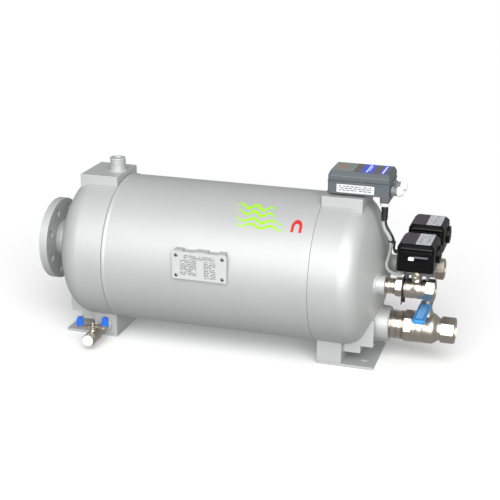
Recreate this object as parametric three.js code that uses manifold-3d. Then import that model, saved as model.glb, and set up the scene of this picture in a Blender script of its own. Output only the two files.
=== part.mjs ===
// Magnetic system filter: a horizontal pressure vessel with a flanged inlet, magnet rods inside,
// two motorised ball valves, a manual ball valve, a drain valve and a controller.
// Millimetres. While it is drawn, X runs along the vessel with 0 at the right seam, and the vessel's
// axis is at Y = Z = 0. The finished group is moved so that its origin is the bottom centre.
import * as THREE from 'three';
import { mergeVertices } from 'three/addons/utils/BufferGeometryUtils.js';
import Module from 'manifold-3d';

const wasm = await Module();
wasm.setup();

// ---- driving dimensions ----
const GAP = 0.3; // clearance between pieces that touch
const VESSEL = { r: 162, wall: 4, length: 458, straight: 58, crown: 259.2, knuckle: 49.9, segments: 40 };
const LEFT = -VESSEL.length; // left seam
const FLANGE = { back: 161.5, thick: 18, face: 2, r: 92.5, faceR: 61, circle: 72.5, hole: 9, holes: 8 };
const NECK = { r: 38.05, bore: 34.5 };
const BLOCK = { length: 88, half: 56.5, top: 173 };
const FOOT = {
  near: 3.5, boxEnd: 57.5, end: 127.5, half: 75, bottom: -197.5, plate: 6, wall: 5,
  slot: { from: 95, to: 113, y: 45, half: 5.5, corner: 5.4 },
};
const CRADLE = { end: 95, bottom: -170, gussetEnd: 122.5, gussetBottom: -153, gussetThick: 6 };
const VENT = { x: LEFT - 22, r: 17.5, bore: 13.3, top: 203 };
const DRAIN = { x: LEFT - 32, z: -172, ball: -142, end: -170, turn: Math.PI / 12 };
const LOWER = { z: -115, socket: 38.2, socketBore: 31.4, stem: 224, end: 287 };
const MOTOR = { y: 68, z: -3, stem: 210, end: 249 };
const ACTUATOR = { x0: 172, x1: 248, half: 46, bottom: 47, split: 92, top: 105, corner: 9 };
const CONTROLLER = { x0: 9.5, x1: 139, half: 44, bottom: 177.5, split: 205, top: 225, deep: 165 };
const MAGNET = { sleeveR: 16, coreR: 13.7, y: 52, from: -400, to: -24 };

// ---- solids ----
function solid(geometry) {
  const bare = geometry.clone();
  bare.deleteAttribute('normal');
  bare.deleteAttribute('uv');
  const merged = mergeVertices(bare, 1e-4);
  const kept = [];
  const index = merged.index.array;
  for (let i = 0; i < index.length; i += 3) {
    const [a, b, c] = [index[i], index[i + 1], index[i + 2]];
    if (a !== b && b !== c && c !== a) kept.push(a, b, c);
  }
  const vertProperties = merged.attributes.position.array;
  return new wasm.Manifold(new wasm.Mesh({ numProp: 3, vertProperties, triVerts: new Uint32Array(kept) }));
}

function surface(body) {
  const mesh = body.getMesh();
  const geometry = new THREE.BufferGeometry();
  geometry.setAttribute('position', new THREE.BufferAttribute(new Float32Array(mesh.vertProperties), 3));
  geometry.setIndex(new THREE.BufferAttribute(new Uint32Array(mesh.triVerts), 1));
  geometry.computeVertexNormals();
  return geometry;
}

function join(first, ...others) {
  return surface(others.reduce((sum, other) => sum.add(solid(other)), solid(first)));
}

function cut(first, ...others) {
  return surface(others.reduce((rest, other) => rest.subtract(solid(other)), solid(first)));
}

// ---- shapes ----
function block(x0, x1, y0, y1, z0, z1) {
  const geometry = new THREE.BoxGeometry(x1 - x0, y1 - y0, z1 - z0);
  return geometry.translate((x0 + x1) / 2, (y0 + y1) / 2, (z0 + z1) / 2);
}

// Turns an outline of [radius, height] points about an axis, then moves it to a place.
function turned(outline, axis, place, segments = 16) {
  let area = 0;
  outline.forEach(([r, h], i) => {
    const [nextR, nextH] = outline[(i + 1) % outline.length];
    area += r * nextH - nextR * h;
  });
  const points = (area > 0 ? outline : [...outline].reverse()).map(([r, h]) => new THREE.Vector2(r, h));
  const onAxis = points[0].x === 0 && points[points.length - 1].x === 0;
  if (!onAxis) points.push(points[0].clone());
  const geometry = new THREE.LatheGeometry(points, segments);
  if (axis === 'x') geometry.rotateZ(-Math.PI / 2);
  if (axis === '-x') geometry.rotateZ(Math.PI / 2);
  if (axis === 'z') geometry.rotateX(Math.PI / 2);
  if (axis === '-y') geometry.rotateX(Math.PI);
  return geometry.translate(...place);
}

function rod(r, h0, h1, axis, place, segments = 16) {
  return turned([[0, h0], [r, h0], [r, h1], [0, h1]], axis, place, segments);
}

function tube(r, bore, h0, h1, axis, place, segments = 16) {
  return turned([[bore, h0], [r, h0], [r, h1], [bore, h1]], axis, place, segments);
}

// A solid ball, coarse because it sits inside a valve.
function ball(r, place) {
  const outline = [];
  const steps = 6;
  for (let i = 0; i <= steps; i += 1) {
    const turn = -Math.PI / 2 + (Math.PI * i) / steps;
    outline.push([i % steps === 0 ? 0 : r * Math.cos(turn), r * Math.sin(turn)]);
  }
  return turned(outline, 'z', place, 12);
}

// A hexagonal prism along X with two flats level, given its size across flats.
function hexX(flats, x0, x1, y, z) {
  const geometry = rod(flats / Math.sqrt(3), x0, x1, 'x', [0, 0, 0], 6);
  return geometry.rotateX(Math.PI / 6).translate(0, y, z);
}

// An octagonal prism along X with a corner on top, given its size across flats.
function octagonX(flats, x0, x1, y, z) {
  return rod(flats / (2 * Math.cos(Math.PI / 8)), x0, x1, 'x', [0, 0, 0], 8).translate(0, y, z);
}

function roundedRect(x0, x1, y0, y1, r) {
  const shape = new THREE.Shape();
  shape.absarc(x1 - r, y1 - r, r, 0, Math.PI / 2);
  shape.absarc(x0 + r, y1 - r, r, Math.PI / 2, Math.PI);
  shape.absarc(x0 + r, y0 + r, r, Math.PI, 1.5 * Math.PI);
  shape.absarc(x1 - r, y0 + r, r, 1.5 * Math.PI, 2 * Math.PI);
  shape.closePath();
  return shape;
}

function upright(shape, z0, z1, curveSegments = 3) {
  const geometry = new THREE.ExtrudeGeometry(shape, { depth: z1 - z0, bevelEnabled: false, curveSegments });
  return geometry.translate(0, 0, z0);
}

// A lid with rounded corners, upright sides and a sloped rim around its top face.
function slopedLid(x0, x1, y0, y1, corner, z0, z1, slope, rise) {
  const shape = roundedRect(x0 + slope, x1 - slope, y0 + slope, y1 - slope, corner);
  const settings = {
    depth: z1 - z0, bevelThickness: rise, bevelSize: slope, bevelSegments: 1, curveSegments: 3,
  };
  const body = new THREE.ExtrudeGeometry(shape, settings).translate(0, 0, z0 - rise);
  return cut(body, block(x0 - 1, x1 + 1, y0 - 1, y1 + 1, z0 - 3 * rise, z0));
}

// A round lead through a row of points.
function cable(points, r) {
  const section = new THREE.Shape().absarc(0, 0, r, 0, 2 * Math.PI);
  const path = new THREE.CatmullRomCurve3(points.map((p) => new THREE.Vector3(...p)), false, 'centripetal');
  const steps = Math.round(path.getLength() / (6 * r));
  return new THREE.ExtrudeGeometry(section, {
    steps, curveSegments: 4, bevelEnabled: false, extrudePath: path,
  });
}

// ---- the vessel's own outline ----
// A dished head from its rim to its middle, as [radius, distance from the seam], grown by an offset.
function headOutline(offset) {
  const { r, straight, crown, knuckle } = VESSEL;
  const centre = r - knuckle;
  const blend = Math.asin(centre / (crown - knuckle));
  const crownX = straight - (crown - knuckle) * Math.cos(blend);
  const outline = [[r + offset, 0]];
  const knuckleSteps = 4;
  for (let i = 0; i <= knuckleSteps; i += 1) {
    const turn = ((Math.PI / 2 - blend) * i) / knuckleSteps;
    const radius = knuckle + offset;
    outline.push([centre + radius * Math.cos(turn), straight + radius * Math.sin(turn)]);
  }
  const crownSteps = 3;
  for (let i = 1; i <= crownSteps; i += 1) {
    const turn = blend * (1 - i / crownSteps);
    const radius = crown + offset;
    outline.push([i === crownSteps ? 0 : radius * Math.sin(turn), crownX + radius * Math.cos(turn)]);
  }
  return outline;
}

function vesselBody(offset) {
  const right = headOutline(offset);
  const left = headOutline(offset).map(([r, h]) => [r, LEFT - h]).reverse();
  return turned([...left, ...right], 'x', [0, 0, 0], VESSEL.segments);
}

function head(side) {
  const outer = headOutline(0);
  const inner = headOutline(-VESSEL.wall).reverse();
  const outline = [...outer, ...inner].map(([r, h]) => [r, Math.max(h, GAP / 2)]);
  const place = [side < 0 ? LEFT : 0, 0, 0];
  return turned(outline, side < 0 ? '-x' : 'x', place, VESSEL.segments);
}

const clearOfVessel = vesselBody(GAP + 0.1);
const group = new THREE.Group();
const materials = {
  paint: { color: 0xb4b7b3, roughness: 0.4, metalness: 0.35 },
  nickel: { color: 0xc4bdb0, roughness: 0.28, metalness: 1 },
  steel: { color: 0xb9bcbf, roughness: 0.35, metalness: 1 },
  magnet: { color: 0x55585c, roughness: 0.5, metalness: 0.8 },
  blue: { color: 0x2378d2, roughness: 0.45, metalness: 0 },
  grey: { color: 0x5f666c, roughness: 0.55, metalness: 0 },
  white: { color: 0xeff0ee, roughness: 0.5, metalness: 0 },
  black: { color: 0x0f0f11, roughness: 0.45, metalness: 0 },
  charcoal: { color: 0x2a2628, roughness: 0.5, metalness: 0 },
  cable: { color: 0x9ba09a, roughness: 0.6, metalness: 0 },
  board: { color: 0x1f6b3a, roughness: 0.6, metalness: 0 },
};

function add(name, material, geometry) {
  const mesh = new THREE.Mesh(geometry, new THREE.MeshStandardMaterial(materials[material]));
  mesh.name = name;
  group.add(mesh);
}

// A stretch measured outward from a seam, as [low x, high x].
function outward(side, from, to) {
  return side < 0 ? [LEFT - to, LEFT - from] : [from, to];
}

// ---- vessel ----
const inner = VESSEL.r - VESSEL.wall;
add('shell', 'paint', tube(VESSEL.r, inner, LEFT + GAP / 2, -GAP / 2, 'x', [0, 0, 0], VESSEL.segments));
add('left_head', 'paint', cut(
  head(-1),
  rod(NECK.r + GAP, LEFT - 160, LEFT - 100, 'x', [0, 0, 0], 24),
  rod(9 + GAP, -180, -120, 'z', [DRAIN.x, 0, 0], 12),
  rod(10, 140, 180, 'z', [VENT.x, 0, 0], 12),
));
add('right_head', 'paint', cut(
  head(1),
  rod(LOWER.socket + GAP, 60, 160, 'x', [0, 0, LOWER.z], 20),
  ...[-1, 1].map((side) => rod(21 + GAP, 60, 160, 'x', [0, side * MOTOR.y, MOTOR.z])),
));

// ---- inlet ----
const flangeBack = LEFT - FLANGE.back;
const flangeFace = flangeBack - FLANGE.thick - FLANGE.face;
add('inlet_neck', 'paint', tube(NECK.r, NECK.bore, flangeFace + 3, LEFT - 128, 'x', [0, 0, 0], 24));
const flangeDisc = turned([
  [NECK.r + GAP, flangeBack], [FLANGE.r, flangeBack], [FLANGE.r, flangeBack - FLANGE.thick],
  [FLANGE.faceR, flangeBack - FLANGE.thick], [FLANGE.faceR, flangeFace], [NECK.r + GAP, flangeFace],
], 'x', [0, 0, 0], 36);
const boltHoles = Array.from({ length: FLANGE.holes }, (_, i) => {
  const turn = ((i + 0.5) * 2 * Math.PI) / FLANGE.holes;
  const place = [0, FLANGE.circle * Math.cos(turn), FLANGE.circle * Math.sin(turn)];
  return rod(FLANGE.hole, flangeFace - 1, flangeBack + 1, 'x', place, 10);
});
add('inlet_flange', 'paint', cut(flangeDisc, ...boltHoles));

// ---- pads on top of the heads ----
for (const [name, side] of [['left_top_block', -1], ['right_top_block', 1]]) {
  const [x0, x1] = outward(side, 0.5, BLOCK.length);
  const pad = block(x0, x1, -BLOCK.half, BLOCK.half, 130, BLOCK.top);
  const ventHole = rod(10, 120, 180, 'z', [VENT.x, 0, 0], 12);
  add(name, 'paint', cut(pad, clearOfVessel, ventHole));
}
add('vent_socket', 'paint', turned([
  [VENT.bore, BLOCK.top + GAP], [VENT.r, BLOCK.top + GAP], [VENT.r, 192], [VENT.r - 1.3, 193],
  [VENT.r - 1.3, 195], [VENT.r, 196], [VENT.r, VENT.top - 1.5], [VENT.r - 1, VENT.top],
  [VENT.bore, VENT.top],
], 'z', [VENT.x, 0, 0], 12));
add('vent_plug', 'steel', cut(
  rod(VENT.bore - GAP, 184, 198, 'z', [VENT.x, 0, 0], 12),
  block(VENT.x - 4, VENT.x + 4, -4, 4, 191, 199),
));

// ---- feet ----
const plateTop = FOOT.bottom + FOOT.plate;
const hollow = FOOT.half - FOOT.wall;
for (const [name, side] of [['left', -1], ['right', 1]]) {
  const [x0, x1] = outward(side, FOOT.near, FOOT.end);
  const plate = roundedRect(x0, x1, -FOOT.half, FOOT.half, 4);
  const [s0, s1] = outward(side, FOOT.slot.from, FOOT.slot.to);
  for (const y of [-FOOT.slot.y, FOOT.slot.y]) {
    plate.holes.push(roundedRect(s0, s1, y - FOOT.slot.half, y + FOOT.slot.half, FOOT.slot.corner));
  }
  add(`${name}_foot_plate`, 'paint', upright(plate, FOOT.bottom, plateTop));

  const [b0, b1] = outward(side, FOOT.near, FOOT.boxEnd);
  const port = rod(16 + GAP, -FOOT.half - 1, -FOOT.half + FOOT.wall + 1, 'y', [DRAIN.x, 0, DRAIN.z]);
  add(`${name}_foot_box`, 'paint', cut(
    block(b0, b1, -FOOT.half, FOOT.half, plateTop + GAP, -120),
    block(b0 + FOOT.wall, b1 - FOOT.wall, -hollow, hollow, plateTop - 1, -110),
    clearOfVessel,
    port,
  ));

  const [c0, c1] = outward(side, FOOT.boxEnd + GAP, CRADLE.end);
  const [g0, g1] = outward(side, CRADLE.end - 6, CRADLE.gussetEnd);
  const inside = BLOCK.half - CRADLE.gussetThick;
  add(`${name}_cradle`, 'paint', cut(
    join(
      block(c0, c1, -BLOCK.half, BLOCK.half, CRADLE.bottom, -125),
      block(g0, g1, -BLOCK.half, -inside, CRADLE.gussetBottom, -92),
      block(g0, g1, inside, BLOCK.half, CRADLE.gussetBottom, -92),
    ),
    clearOfVessel,
    rod(LOWER.socket + GAP, 60, 160, 'x', [0, 0, LOWER.z], 20),
  ));
}

// ---- drain: a pipe out of the left head's lowest point, through the foot box, to a ball valve ----
const pipeEnd = -FOOT.half - 5;
add('drain_pipe', 'paint', cut(
  join(
    rod(9, DRAIN.z - 4, -150, 'z', [DRAIN.x, 0, 0], 12),
    rod(9, pipeEnd, 8, 'y', [DRAIN.x, 0, DRAIN.z], 20),
    rod(16, pipeEnd, -FOOT.half + FOOT.wall + 2, 'y', [DRAIN.x, 0, DRAIN.z]),
  ),
  rod(6.5, DRAIN.z, -149, 'z', [DRAIN.x, 0, 0], 16),
  rod(6.5, pipeEnd - 1, 5, 'y', [DRAIN.x, 0, DRAIN.z], 16),
));
const drainAt = [DRAIN.x, 0, DRAIN.z];
// The drain stands a little way off closed, so its ball and handle are turned about the stem.
const drainTurned = (geometry) => (
  geometry.translate(-DRAIN.x, -DRAIN.ball, 0).rotateZ(DRAIN.turn).translate(DRAIN.x, DRAIN.ball, 0)
);
add('drain_valve_body', 'nickel', cut(
  join(
    turned([[0, pipeEnd - GAP], [9.5, pipeEnd - GAP], [9.5, -94], [11, -95], [11, -119], [14, -124],
      [14, -157], [11.5, -160], [0, -160]], 'y', drainAt),
    rod(14.5, -106, -95, 'y', drainAt, 6),
    rod(15, DRAIN.end, -159, 'y', drainAt, 6),
    rod(6.5, DRAIN.z + 8, DRAIN.z + 21, 'z', [DRAIN.x, DRAIN.ball, 0], 12),
  ),
  rod(6, pipeEnd + 5, DRAIN.ball, 'y', drainAt, 14),
  rod(9, DRAIN.end - 5, -156, 'y', drainAt, 14),
  rod(6, -157, DRAIN.ball, 'y', drainAt, 14),
  rod(11, DRAIN.ball - 10.5, DRAIN.ball + 10.5, 'y', drainAt),
  rod(3.8, DRAIN.z, DRAIN.z + 30, 'z', [DRAIN.x, DRAIN.ball, 0], 12),
));
add('drain_ball', 'steel', drainTurned(cut(
  ball(10, [DRAIN.x, DRAIN.ball, DRAIN.z]),
  rod(5.5, -20, 20, 'x', [DRAIN.x, DRAIN.ball, DRAIN.z], 16),
)));
add('drain_stem', 'nickel', rod(3.5, DRAIN.z + 10.4, DRAIN.z + 33, 'z', [DRAIN.x, DRAIN.ball, 0], 12));
const WING = { near: 21, far: 35, half: 7, height: 23 };
const handleZ = DRAIN.z + 22;
add('drain_handle', 'blue', drainTurned(cut(
  join(
    block(DRAIN.x - WING.far, DRAIN.x + WING.far, DRAIN.ball - 4.5, DRAIN.ball + 4.5, handleZ, handleZ + 4.5),
    rod(8, handleZ, handleZ + 6, 'z', [DRAIN.x, DRAIN.ball, 0], 12),
    ...[-1, 1].map((side) => {
      const middle = DRAIN.x + (side * (WING.near + WING.far)) / 2;
      const wing = roundedRect(middle - WING.half, middle + WING.half, 0, WING.height, 5);
      const geometry = new THREE.ExtrudeGeometry(wing, { depth: 8, bevelEnabled: false, curveSegments: 4 });
      return geometry.rotateX(Math.PI / 2).translate(0, DRAIN.ball + 4, handleZ);
    }),
  ),
  rod(3.8, handleZ - 10, handleZ + 10, 'z', [DRAIN.x, DRAIN.ball, 0], 12),
)));
add('drain_cap', 'white', turned([
  [0, -163], [8.7, -163], [8.7, DRAIN.end - GAP], [12.5, DRAIN.end - GAP], [12.5, DRAIN.end - 3],
  [0, DRAIN.end - 3],
], 'y', drainAt, 16));

// ---- name plate on the shell's front ----
const PLATE = { x0: LEFT + 168, x1: LEFT + 288, z0: -1.5, z1: 58.5, y: -170 };
add('plate_bracket', 'paint', cut(
  block(PLATE.x0 + 4, PLATE.x1 - 4, PLATE.y + 1.5 + GAP, -140, PLATE.z0 - 1.5, PLATE.z1 + 3),
  block(PLATE.x0, PLATE.x1, PLATE.y + 4, -130, PLATE.z0 + 2, PLATE.z1 - 0.5),
  clearOfVessel,
));
add('nameplate', 'steel', block(PLATE.x0, PLATE.x1, PLATE.y, PLATE.y + 1.5, PLATE.z0, PLATE.z1));

// ---- controller on the right pad ----
const C = CONTROLLER;
const floor = C.bottom + 3;
const wall = 3;
const BOARD = { bottom: 186, top: 187.6 };
const posts = [[30, -34], [112, -34], [30, 34], [112, 34]];
const GLAND = { x: C.x1 - 9.5, y: -30, side: 20, sideZ: 187 };
add('controller_base', 'grey', cut(
  join(
    cut(
      join(
        upright(roundedRect(C.x0, C.x1, -C.half, C.half, 5), C.bottom, C.split),
        upright(roundedRect(C.x1 - 19, C.x1, -C.half, C.half, 4), C.deep, C.split - 10),
      ),
      upright(roundedRect(C.x0 + wall, C.x1 - wall, -C.half + wall, C.half - wall, 3), floor, C.split + 1),
    ),
    block(22, 82, -30, 30, BLOCK.top + GAP, C.bottom + 1),
    block(C.x0 - 5, C.x0 + 1, -8, 8, C.split - 12, C.split - 4),
    block(C.x1 - 1, C.x1 + 4, -8, 8, C.split - 12, C.split - 4),
    ...posts.map(([x, y]) => rod(3, floor - 1, BOARD.bottom - GAP, 'z', [x, y, 0], 12)),
  ),
  rod(5, C.deep - 1, floor + 1, 'z', [GLAND.x, GLAND.y, 0], 16),
));
add('controller_lid', 'grey', cut(
  slopedLid(C.x0, C.x1, -C.half, C.half, 4, C.split + GAP, C.top, 5, 8),
  upright(roundedRect(C.x0 + 10, C.x1 - 10, -C.half + 10, C.half - 10, 3), C.split, C.top - 3),
));
add('controller_board', 'board', block(24, 118, -38, 38, BOARD.bottom, BOARD.top));
add('bottom_gland', 'white', turned([
  [6.5, C.deep - GAP], [10, C.deep - GAP], [10, C.deep - 6], [8.5, C.deep - 9], [6.5, C.deep - 9],
], 'z', [GLAND.x, GLAND.y, 0], 16));
for (const [name, y] of [['side_gland_front', -GLAND.side], ['side_gland_rear', GLAND.side]]) {
  add(name, 'white', turned([
    [0, C.x1 + GAP], [10, C.x1 + GAP], [10, C.x1 + 4], [8, C.x1 + 5], [8, C.x1 + 13], [10, C.x1 + 14],
    [10, C.x1 + 22], [8.5, C.x1 + 26], [0, C.x1 + 26],
  ], 'x', [0, y, GLAND.sideZ], 16));
}

// ---- lower outlet: weld socket, nipple and a hand-turned ball valve ----
const lowerAt = [0, 0, LOWER.z];
add('lower_socket', 'paint', tube(LOWER.socket, LOWER.socketBore, 92, 149, 'x', lowerAt, 20));
add('lower_nipple', 'nickel', tube(31, 26, 127, 196, 'x', lowerAt, 20));
add('lower_valve_body', 'nickel', cut(
  join(
    turned([[0, 196], [33.5, 196], [33.5, 241], [24, 252], [24, 262], [0, 262]], 'x', lowerAt, 20),
    octagonX(67.6, 180, 198, 0, LOWER.z),
    octagonX(56, 258, LOWER.end, 0, LOWER.z),
    rod(12, LOWER.z + 28, LOWER.z + 49, 'z', [LOWER.stem, 0, 0], 24),
  ),
  rod(LOWER.socketBore, 179, 197, 'x', lowerAt, 20),
  rod(18, 196, 266, 'x', lowerAt, 20),
  turned([[0, 198.5], [26, 198.5], [26, 238], [18, 249.5], [0, 249.5]], 'x', lowerAt, 20),
  rod(25, 264, LOWER.end + 1, 'x', lowerAt, 20),
  rod(7.4, LOWER.z, LOWER.z + 60, 'z', [LOWER.stem, 0, 0], 12),
));
add('lower_ball', 'steel', cut(
  ball(24, [LOWER.stem, 0, LOWER.z]),
  rod(17, -40, 40, 'y', [LOWER.stem, 0, LOWER.z], 24),
));
add('lower_stem', 'nickel', rod(7, LOWER.z + 24.5, LOWER.z + 66, 'z', [LOWER.stem, 0, 0], 12));
const leverZ = LOWER.z + 54;
const leverBar = roundedRect(LOWER.stem - 13, LOWER.stem + 13, -30, 14, 9);
const leverSleeve = roundedRect(LOWER.stem - 12.8, LOWER.stem + 12.8, -118, -18, 6);
add('lower_lever', 'blue', cut(
  join(
    upright(leverBar, leverZ, leverZ + 6, 4),
    upright(leverSleeve, leverZ - 1, leverZ + 8, 4),
  ),
  rod(7.3, leverZ - 5, leverZ + 10, 'z', [LOWER.stem, 0, 0], 12),
));

// ---- front and rear outlets: weld socket, nipple, ball valve and its actuator ----
const A = ACTUATOR;
for (const [name, y] of [['front', -MOTOR.y], ['rear', MOTOR.y]]) {
  const at = [0, y, MOTOR.z];
  add(`${name}_socket`, 'paint', tube(21, 17.2, 112, 146, 'x', at));
  add(`${name}_nipple`, 'nickel', tube(16.8, 13.5, 132, 178, 'x', at));
  add(`${name}_valve_body`, 'nickel', cut(
    join(
      rod(21, 181, 230, 'x', at),
      hexX(36, 167, 182, y, MOTOR.z),
      hexX(41, 229, MOTOR.end, y, MOTOR.z),
      rod(10, MOTOR.z + 15, 23, 'z', [MOTOR.stem, y, 0], 16),
    ),
    rod(17.2, 166, 180, 'x', at),
    rod(10.5, 179, 236, 'x', at, 12),
    rod(15.5, 234, MOTOR.end + 1, 'x', at),
    rod(16.2, MOTOR.stem - 15.5, MOTOR.stem + 15.5, 'x', at),
    rod(5.3, MOTOR.z, 30, 'z', [MOTOR.stem, y, 0], 12),
  ));
  add(`${name}_ball`, 'steel', cut(
    join(ball(15, [MOTOR.stem, y, MOTOR.z]), rod(5, MOTOR.z, 62, 'z', [MOTOR.stem, y, 0], 12)),
    rod(9.5, y - 30, y + 30, 'y', [MOTOR.stem, 0, MOTOR.z], 20),
  ));
  add(`${name}_bracket`, 'grey', cut(
    upright(roundedRect(188, 236, y - 20, y + 20, 4), 23 + GAP, A.bottom - GAP),
    rod(8, 20, 50, 'z', [MOTOR.stem, y, 0], 12),
  ));
  const slot = [196, 237];
  add(`${name}_housing`, 'black', cut(
    join(
      upright(roundedRect(A.x0, A.x1, y - A.half, y + A.half, A.corner), A.bottom, A.split, 4),
      rod(19, A.x1 - 2, A.x1 + 6, 'x', [0, y + 14, 72], 18),
    ),
    upright(roundedRect(A.x0 + 4, A.x1 - 4, y - A.half + 14, y + A.half - 4, 5), A.bottom + 4, A.split + 1),
    rod(6, A.bottom - 5, A.bottom + 6, 'z', [MOTOR.stem, y, 0], 12),
    block(slot[0], slot[1], y - A.half - 1, y - A.half + 8, 72.5, 80.5),
  ));
  add(`${name}_cover`, 'charcoal', cut(
    slopedLid(A.x0, A.x1, y - A.half, y + A.half, 6, A.split + GAP, A.top, 6, 7),
    upright(roundedRect(A.x0 + 12, A.x1 - 12, y - A.half + 12, y + A.half - 12, 4), A.split, A.top - 3),
  ));
  const knob = block(slot[0] + 0.5, slot[0] + 12, y - A.half - 3, y - A.half + 7.5, 73, 80);
  add(`${name}_knob`, 'white', knob);
}

// ---- leads from the controller to the actuators ----
add('cable_boot', 'black', turned([
  [0, C.deep + 8], [4.5, C.deep + 8], [4.5, C.deep - 2], [6.2, C.deep - 3], [6.2, C.deep - 12],
  [7.2, C.deep - 13], [6.6, 126], [0, 126],
], 'z', [GLAND.x, GLAND.y, 0], 12));
add('front_lead', 'black', cable([
  [131.2, -27.4, 125], [134.5, -27, 113], [148, -33, 94], [156, -50, 85], [159, -68, 80], [163, -80, 78.5],
  [167, -83.4, 78.5], [171.3, -83.5, 78.5],
], 2.6));
add('rear_lead', 'cable', cable([
  [128, -33, 124.8], [128.8, -33.4, 117], [133, -36, 107], [143, -41.5, 94], [149, -47, 78],
  [145.5, -51, 52], [142.5, -53.5, 38], [147, -56, 27], [158, -59, 22.3], [172, -62, 22.5],
  [180, -56, 25], [181.5, -38, 29], [180, -18, 35], [171, 8, 44], [160, 30, 57], [161, 43, 65.5],
  [166, 47.9, 68], [171.3, 48, 68],
], 3.4));

// ---- inside the vessel: magnet rods in dry sleeves, their support and a bar screen ----
const supportOutline = new THREE.Shape().absarc(0, 0, inner - 2, 0, 2 * Math.PI);
for (const y of [-MAGNET.y, MAGNET.y]) {
  supportOutline.holes.push(new THREE.Path().absarc(0, y, MAGNET.sleeveR + 1, 0, 2 * Math.PI));
}
for (let i = 0; i < 4; i += 1) {
  const turn = ((i + 0.5) * Math.PI) / 2;
  const centre = [110 * Math.cos(turn), 110 * Math.sin(turn)];
  supportOutline.holes.push(new THREE.Path().absarc(...centre, 26, 0, 2 * Math.PI));
}
const support = upright(supportOutline, 0, 6, 7).rotateY(Math.PI / 2).translate(MAGNET.to - 12, 0, 0);
add('magnet_support', 'steel', support);
for (const [name, y] of [['front', -MAGNET.y], ['rear', MAGNET.y]]) {
  add(`${name}_magnet_sleeve`, 'steel', turned([
    [0, MAGNET.from], [MAGNET.sleeveR, MAGNET.from], [MAGNET.sleeveR, MAGNET.to],
    [MAGNET.coreR + GAP, MAGNET.to], [MAGNET.coreR + GAP, MAGNET.from + 3], [0, MAGNET.from + 3],
  ], 'x', [0, y, 0], 12));
  const core = rod(MAGNET.coreR, MAGNET.from + 4, MAGNET.to - 6, 'x', [0, y, 0], 12);
  add(`${name}_magnet_core`, 'magnet', core);
}
const SCREEN = { r: 122, from: -436, to: MAGNET.to - 12 - GAP, bars: 8 };
const rings = [SCREEN.from, -240, SCREEN.to - 8].map((x) => (
  tube(SCREEN.r, SCREEN.r - 6, x, x + 8, 'x', [0, 0, 0], 12)
));
const bars = Array.from({ length: SCREEN.bars }, (_, i) => {
  const bar = block(SCREEN.from + 2, SCREEN.to - 2, -5, 5, SCREEN.r - 5, SCREEN.r - 1.5);
  return bar.rotateX((2 * Math.PI * i) / SCREEN.bars);
});
add('filter_screen', 'steel', join(...rings, ...bars));

// ---- the frame: origin at the bottom centre ----
const bounds = new THREE.Box3().setFromObject(group);
const middle = bounds.getCenter(new THREE.Vector3());
group.position.set(-middle.x, -middle.y, -bounds.min.z);

export default group;
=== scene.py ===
# Magnetic system filter: a painted pressure vessel with a flanged inlet, a hand-turned outlet valve,
# two motorised outlet valves, a drain valve and a controller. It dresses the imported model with
# detailed pieces and finishes. Millimetres are measured from the centre of the right seam.
import math

import bmesh
import bpy
from mathutils import Matrix, Vector


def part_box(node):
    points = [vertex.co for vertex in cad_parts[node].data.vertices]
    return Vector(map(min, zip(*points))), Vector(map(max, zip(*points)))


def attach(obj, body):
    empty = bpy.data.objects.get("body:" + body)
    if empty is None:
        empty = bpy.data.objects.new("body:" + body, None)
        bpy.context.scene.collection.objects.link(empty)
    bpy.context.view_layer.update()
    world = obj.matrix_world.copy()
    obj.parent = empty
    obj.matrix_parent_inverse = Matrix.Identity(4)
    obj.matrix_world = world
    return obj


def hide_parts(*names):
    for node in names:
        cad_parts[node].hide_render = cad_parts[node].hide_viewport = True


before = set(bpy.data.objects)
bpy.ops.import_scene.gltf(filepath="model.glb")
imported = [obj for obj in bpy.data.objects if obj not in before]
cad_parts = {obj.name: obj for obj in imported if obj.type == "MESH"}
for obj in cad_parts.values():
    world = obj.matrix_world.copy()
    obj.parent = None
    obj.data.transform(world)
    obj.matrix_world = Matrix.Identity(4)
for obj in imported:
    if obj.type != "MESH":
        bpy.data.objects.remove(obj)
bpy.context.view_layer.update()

bl_info = {
    "name": "Magnetic System Filter",
    "version": (1, 0, 0),
    "blender": (4, 5, 0),
    "location": "3D View > Sidebar > Filter",
    "description": "Builds the detailed pieces, finishes and studio of a magnetic system filter",
    "category": "Object",
}

MM = 0.001
SHARP_ANGLE = math.radians(38)
SEAM_GAP = 0.15
SHELL_LOW, SHELL_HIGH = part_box("shell")
ORIGIN = Vector((
    SHELL_HIGH.x + SEAM_GAP * MM,
    (SHELL_LOW.y + SHELL_HIGH.y) / 2,
    (SHELL_LOW.z + SHELL_HIGH.z) / 2,
))
AXES = {"X": Vector((1, 0, 0)), "Y": Vector((0, 1, 0)), "Z": Vector((0, 0, 1))}

# ---- the same driving sizes as the frame, in millimetres ----
VESSEL_RADIUS = 162
WALL = 4
LEFT_SEAM = -458
HEAD = {"straight": 58, "crown": 259.2, "knuckle": 49.9}
NECK = {"radius": 38.05, "bore": 34.5}
FLANGE = {"back": -619.5, "front": -637.5, "face": -639.5, "radius": 92.5, "face_radius": 61, "circle": 72.5}
BOLT_HOLE = 9
BOLTS = 8
PIPE_PITCH = 2.3
ROUND = 128
PAD = {"reach": 88, "half": 56.5, "top": 173}
FOOT = {"near": 3.5, "box_end": 57.5, "end": 127.5, "half": 75, "bottom": -197.5, "plate_top": -191.5}
CRADLE = {"end": 95, "bottom": -170, "gusset_end": 122.5, "gusset_bottom": -153, "thick": 6}
VENT_X = -480
DRAIN = {"x": -490, "z": -172, "ball_y": -142, "port": 16.0, "turn": math.radians(15)}
PLATE = {"x0": -290, "x1": -170, "z0": -1.5, "z1": 58.5, "y": -170}
BOX = {"x0": 9.5, "x1": 139, "half": 44, "bottom": 177.5, "split": 205, "top": 225, "deep": 165}
GLAND = {"x": 129.5, "y": -30, "side_y": 20, "side_z": 187}
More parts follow.
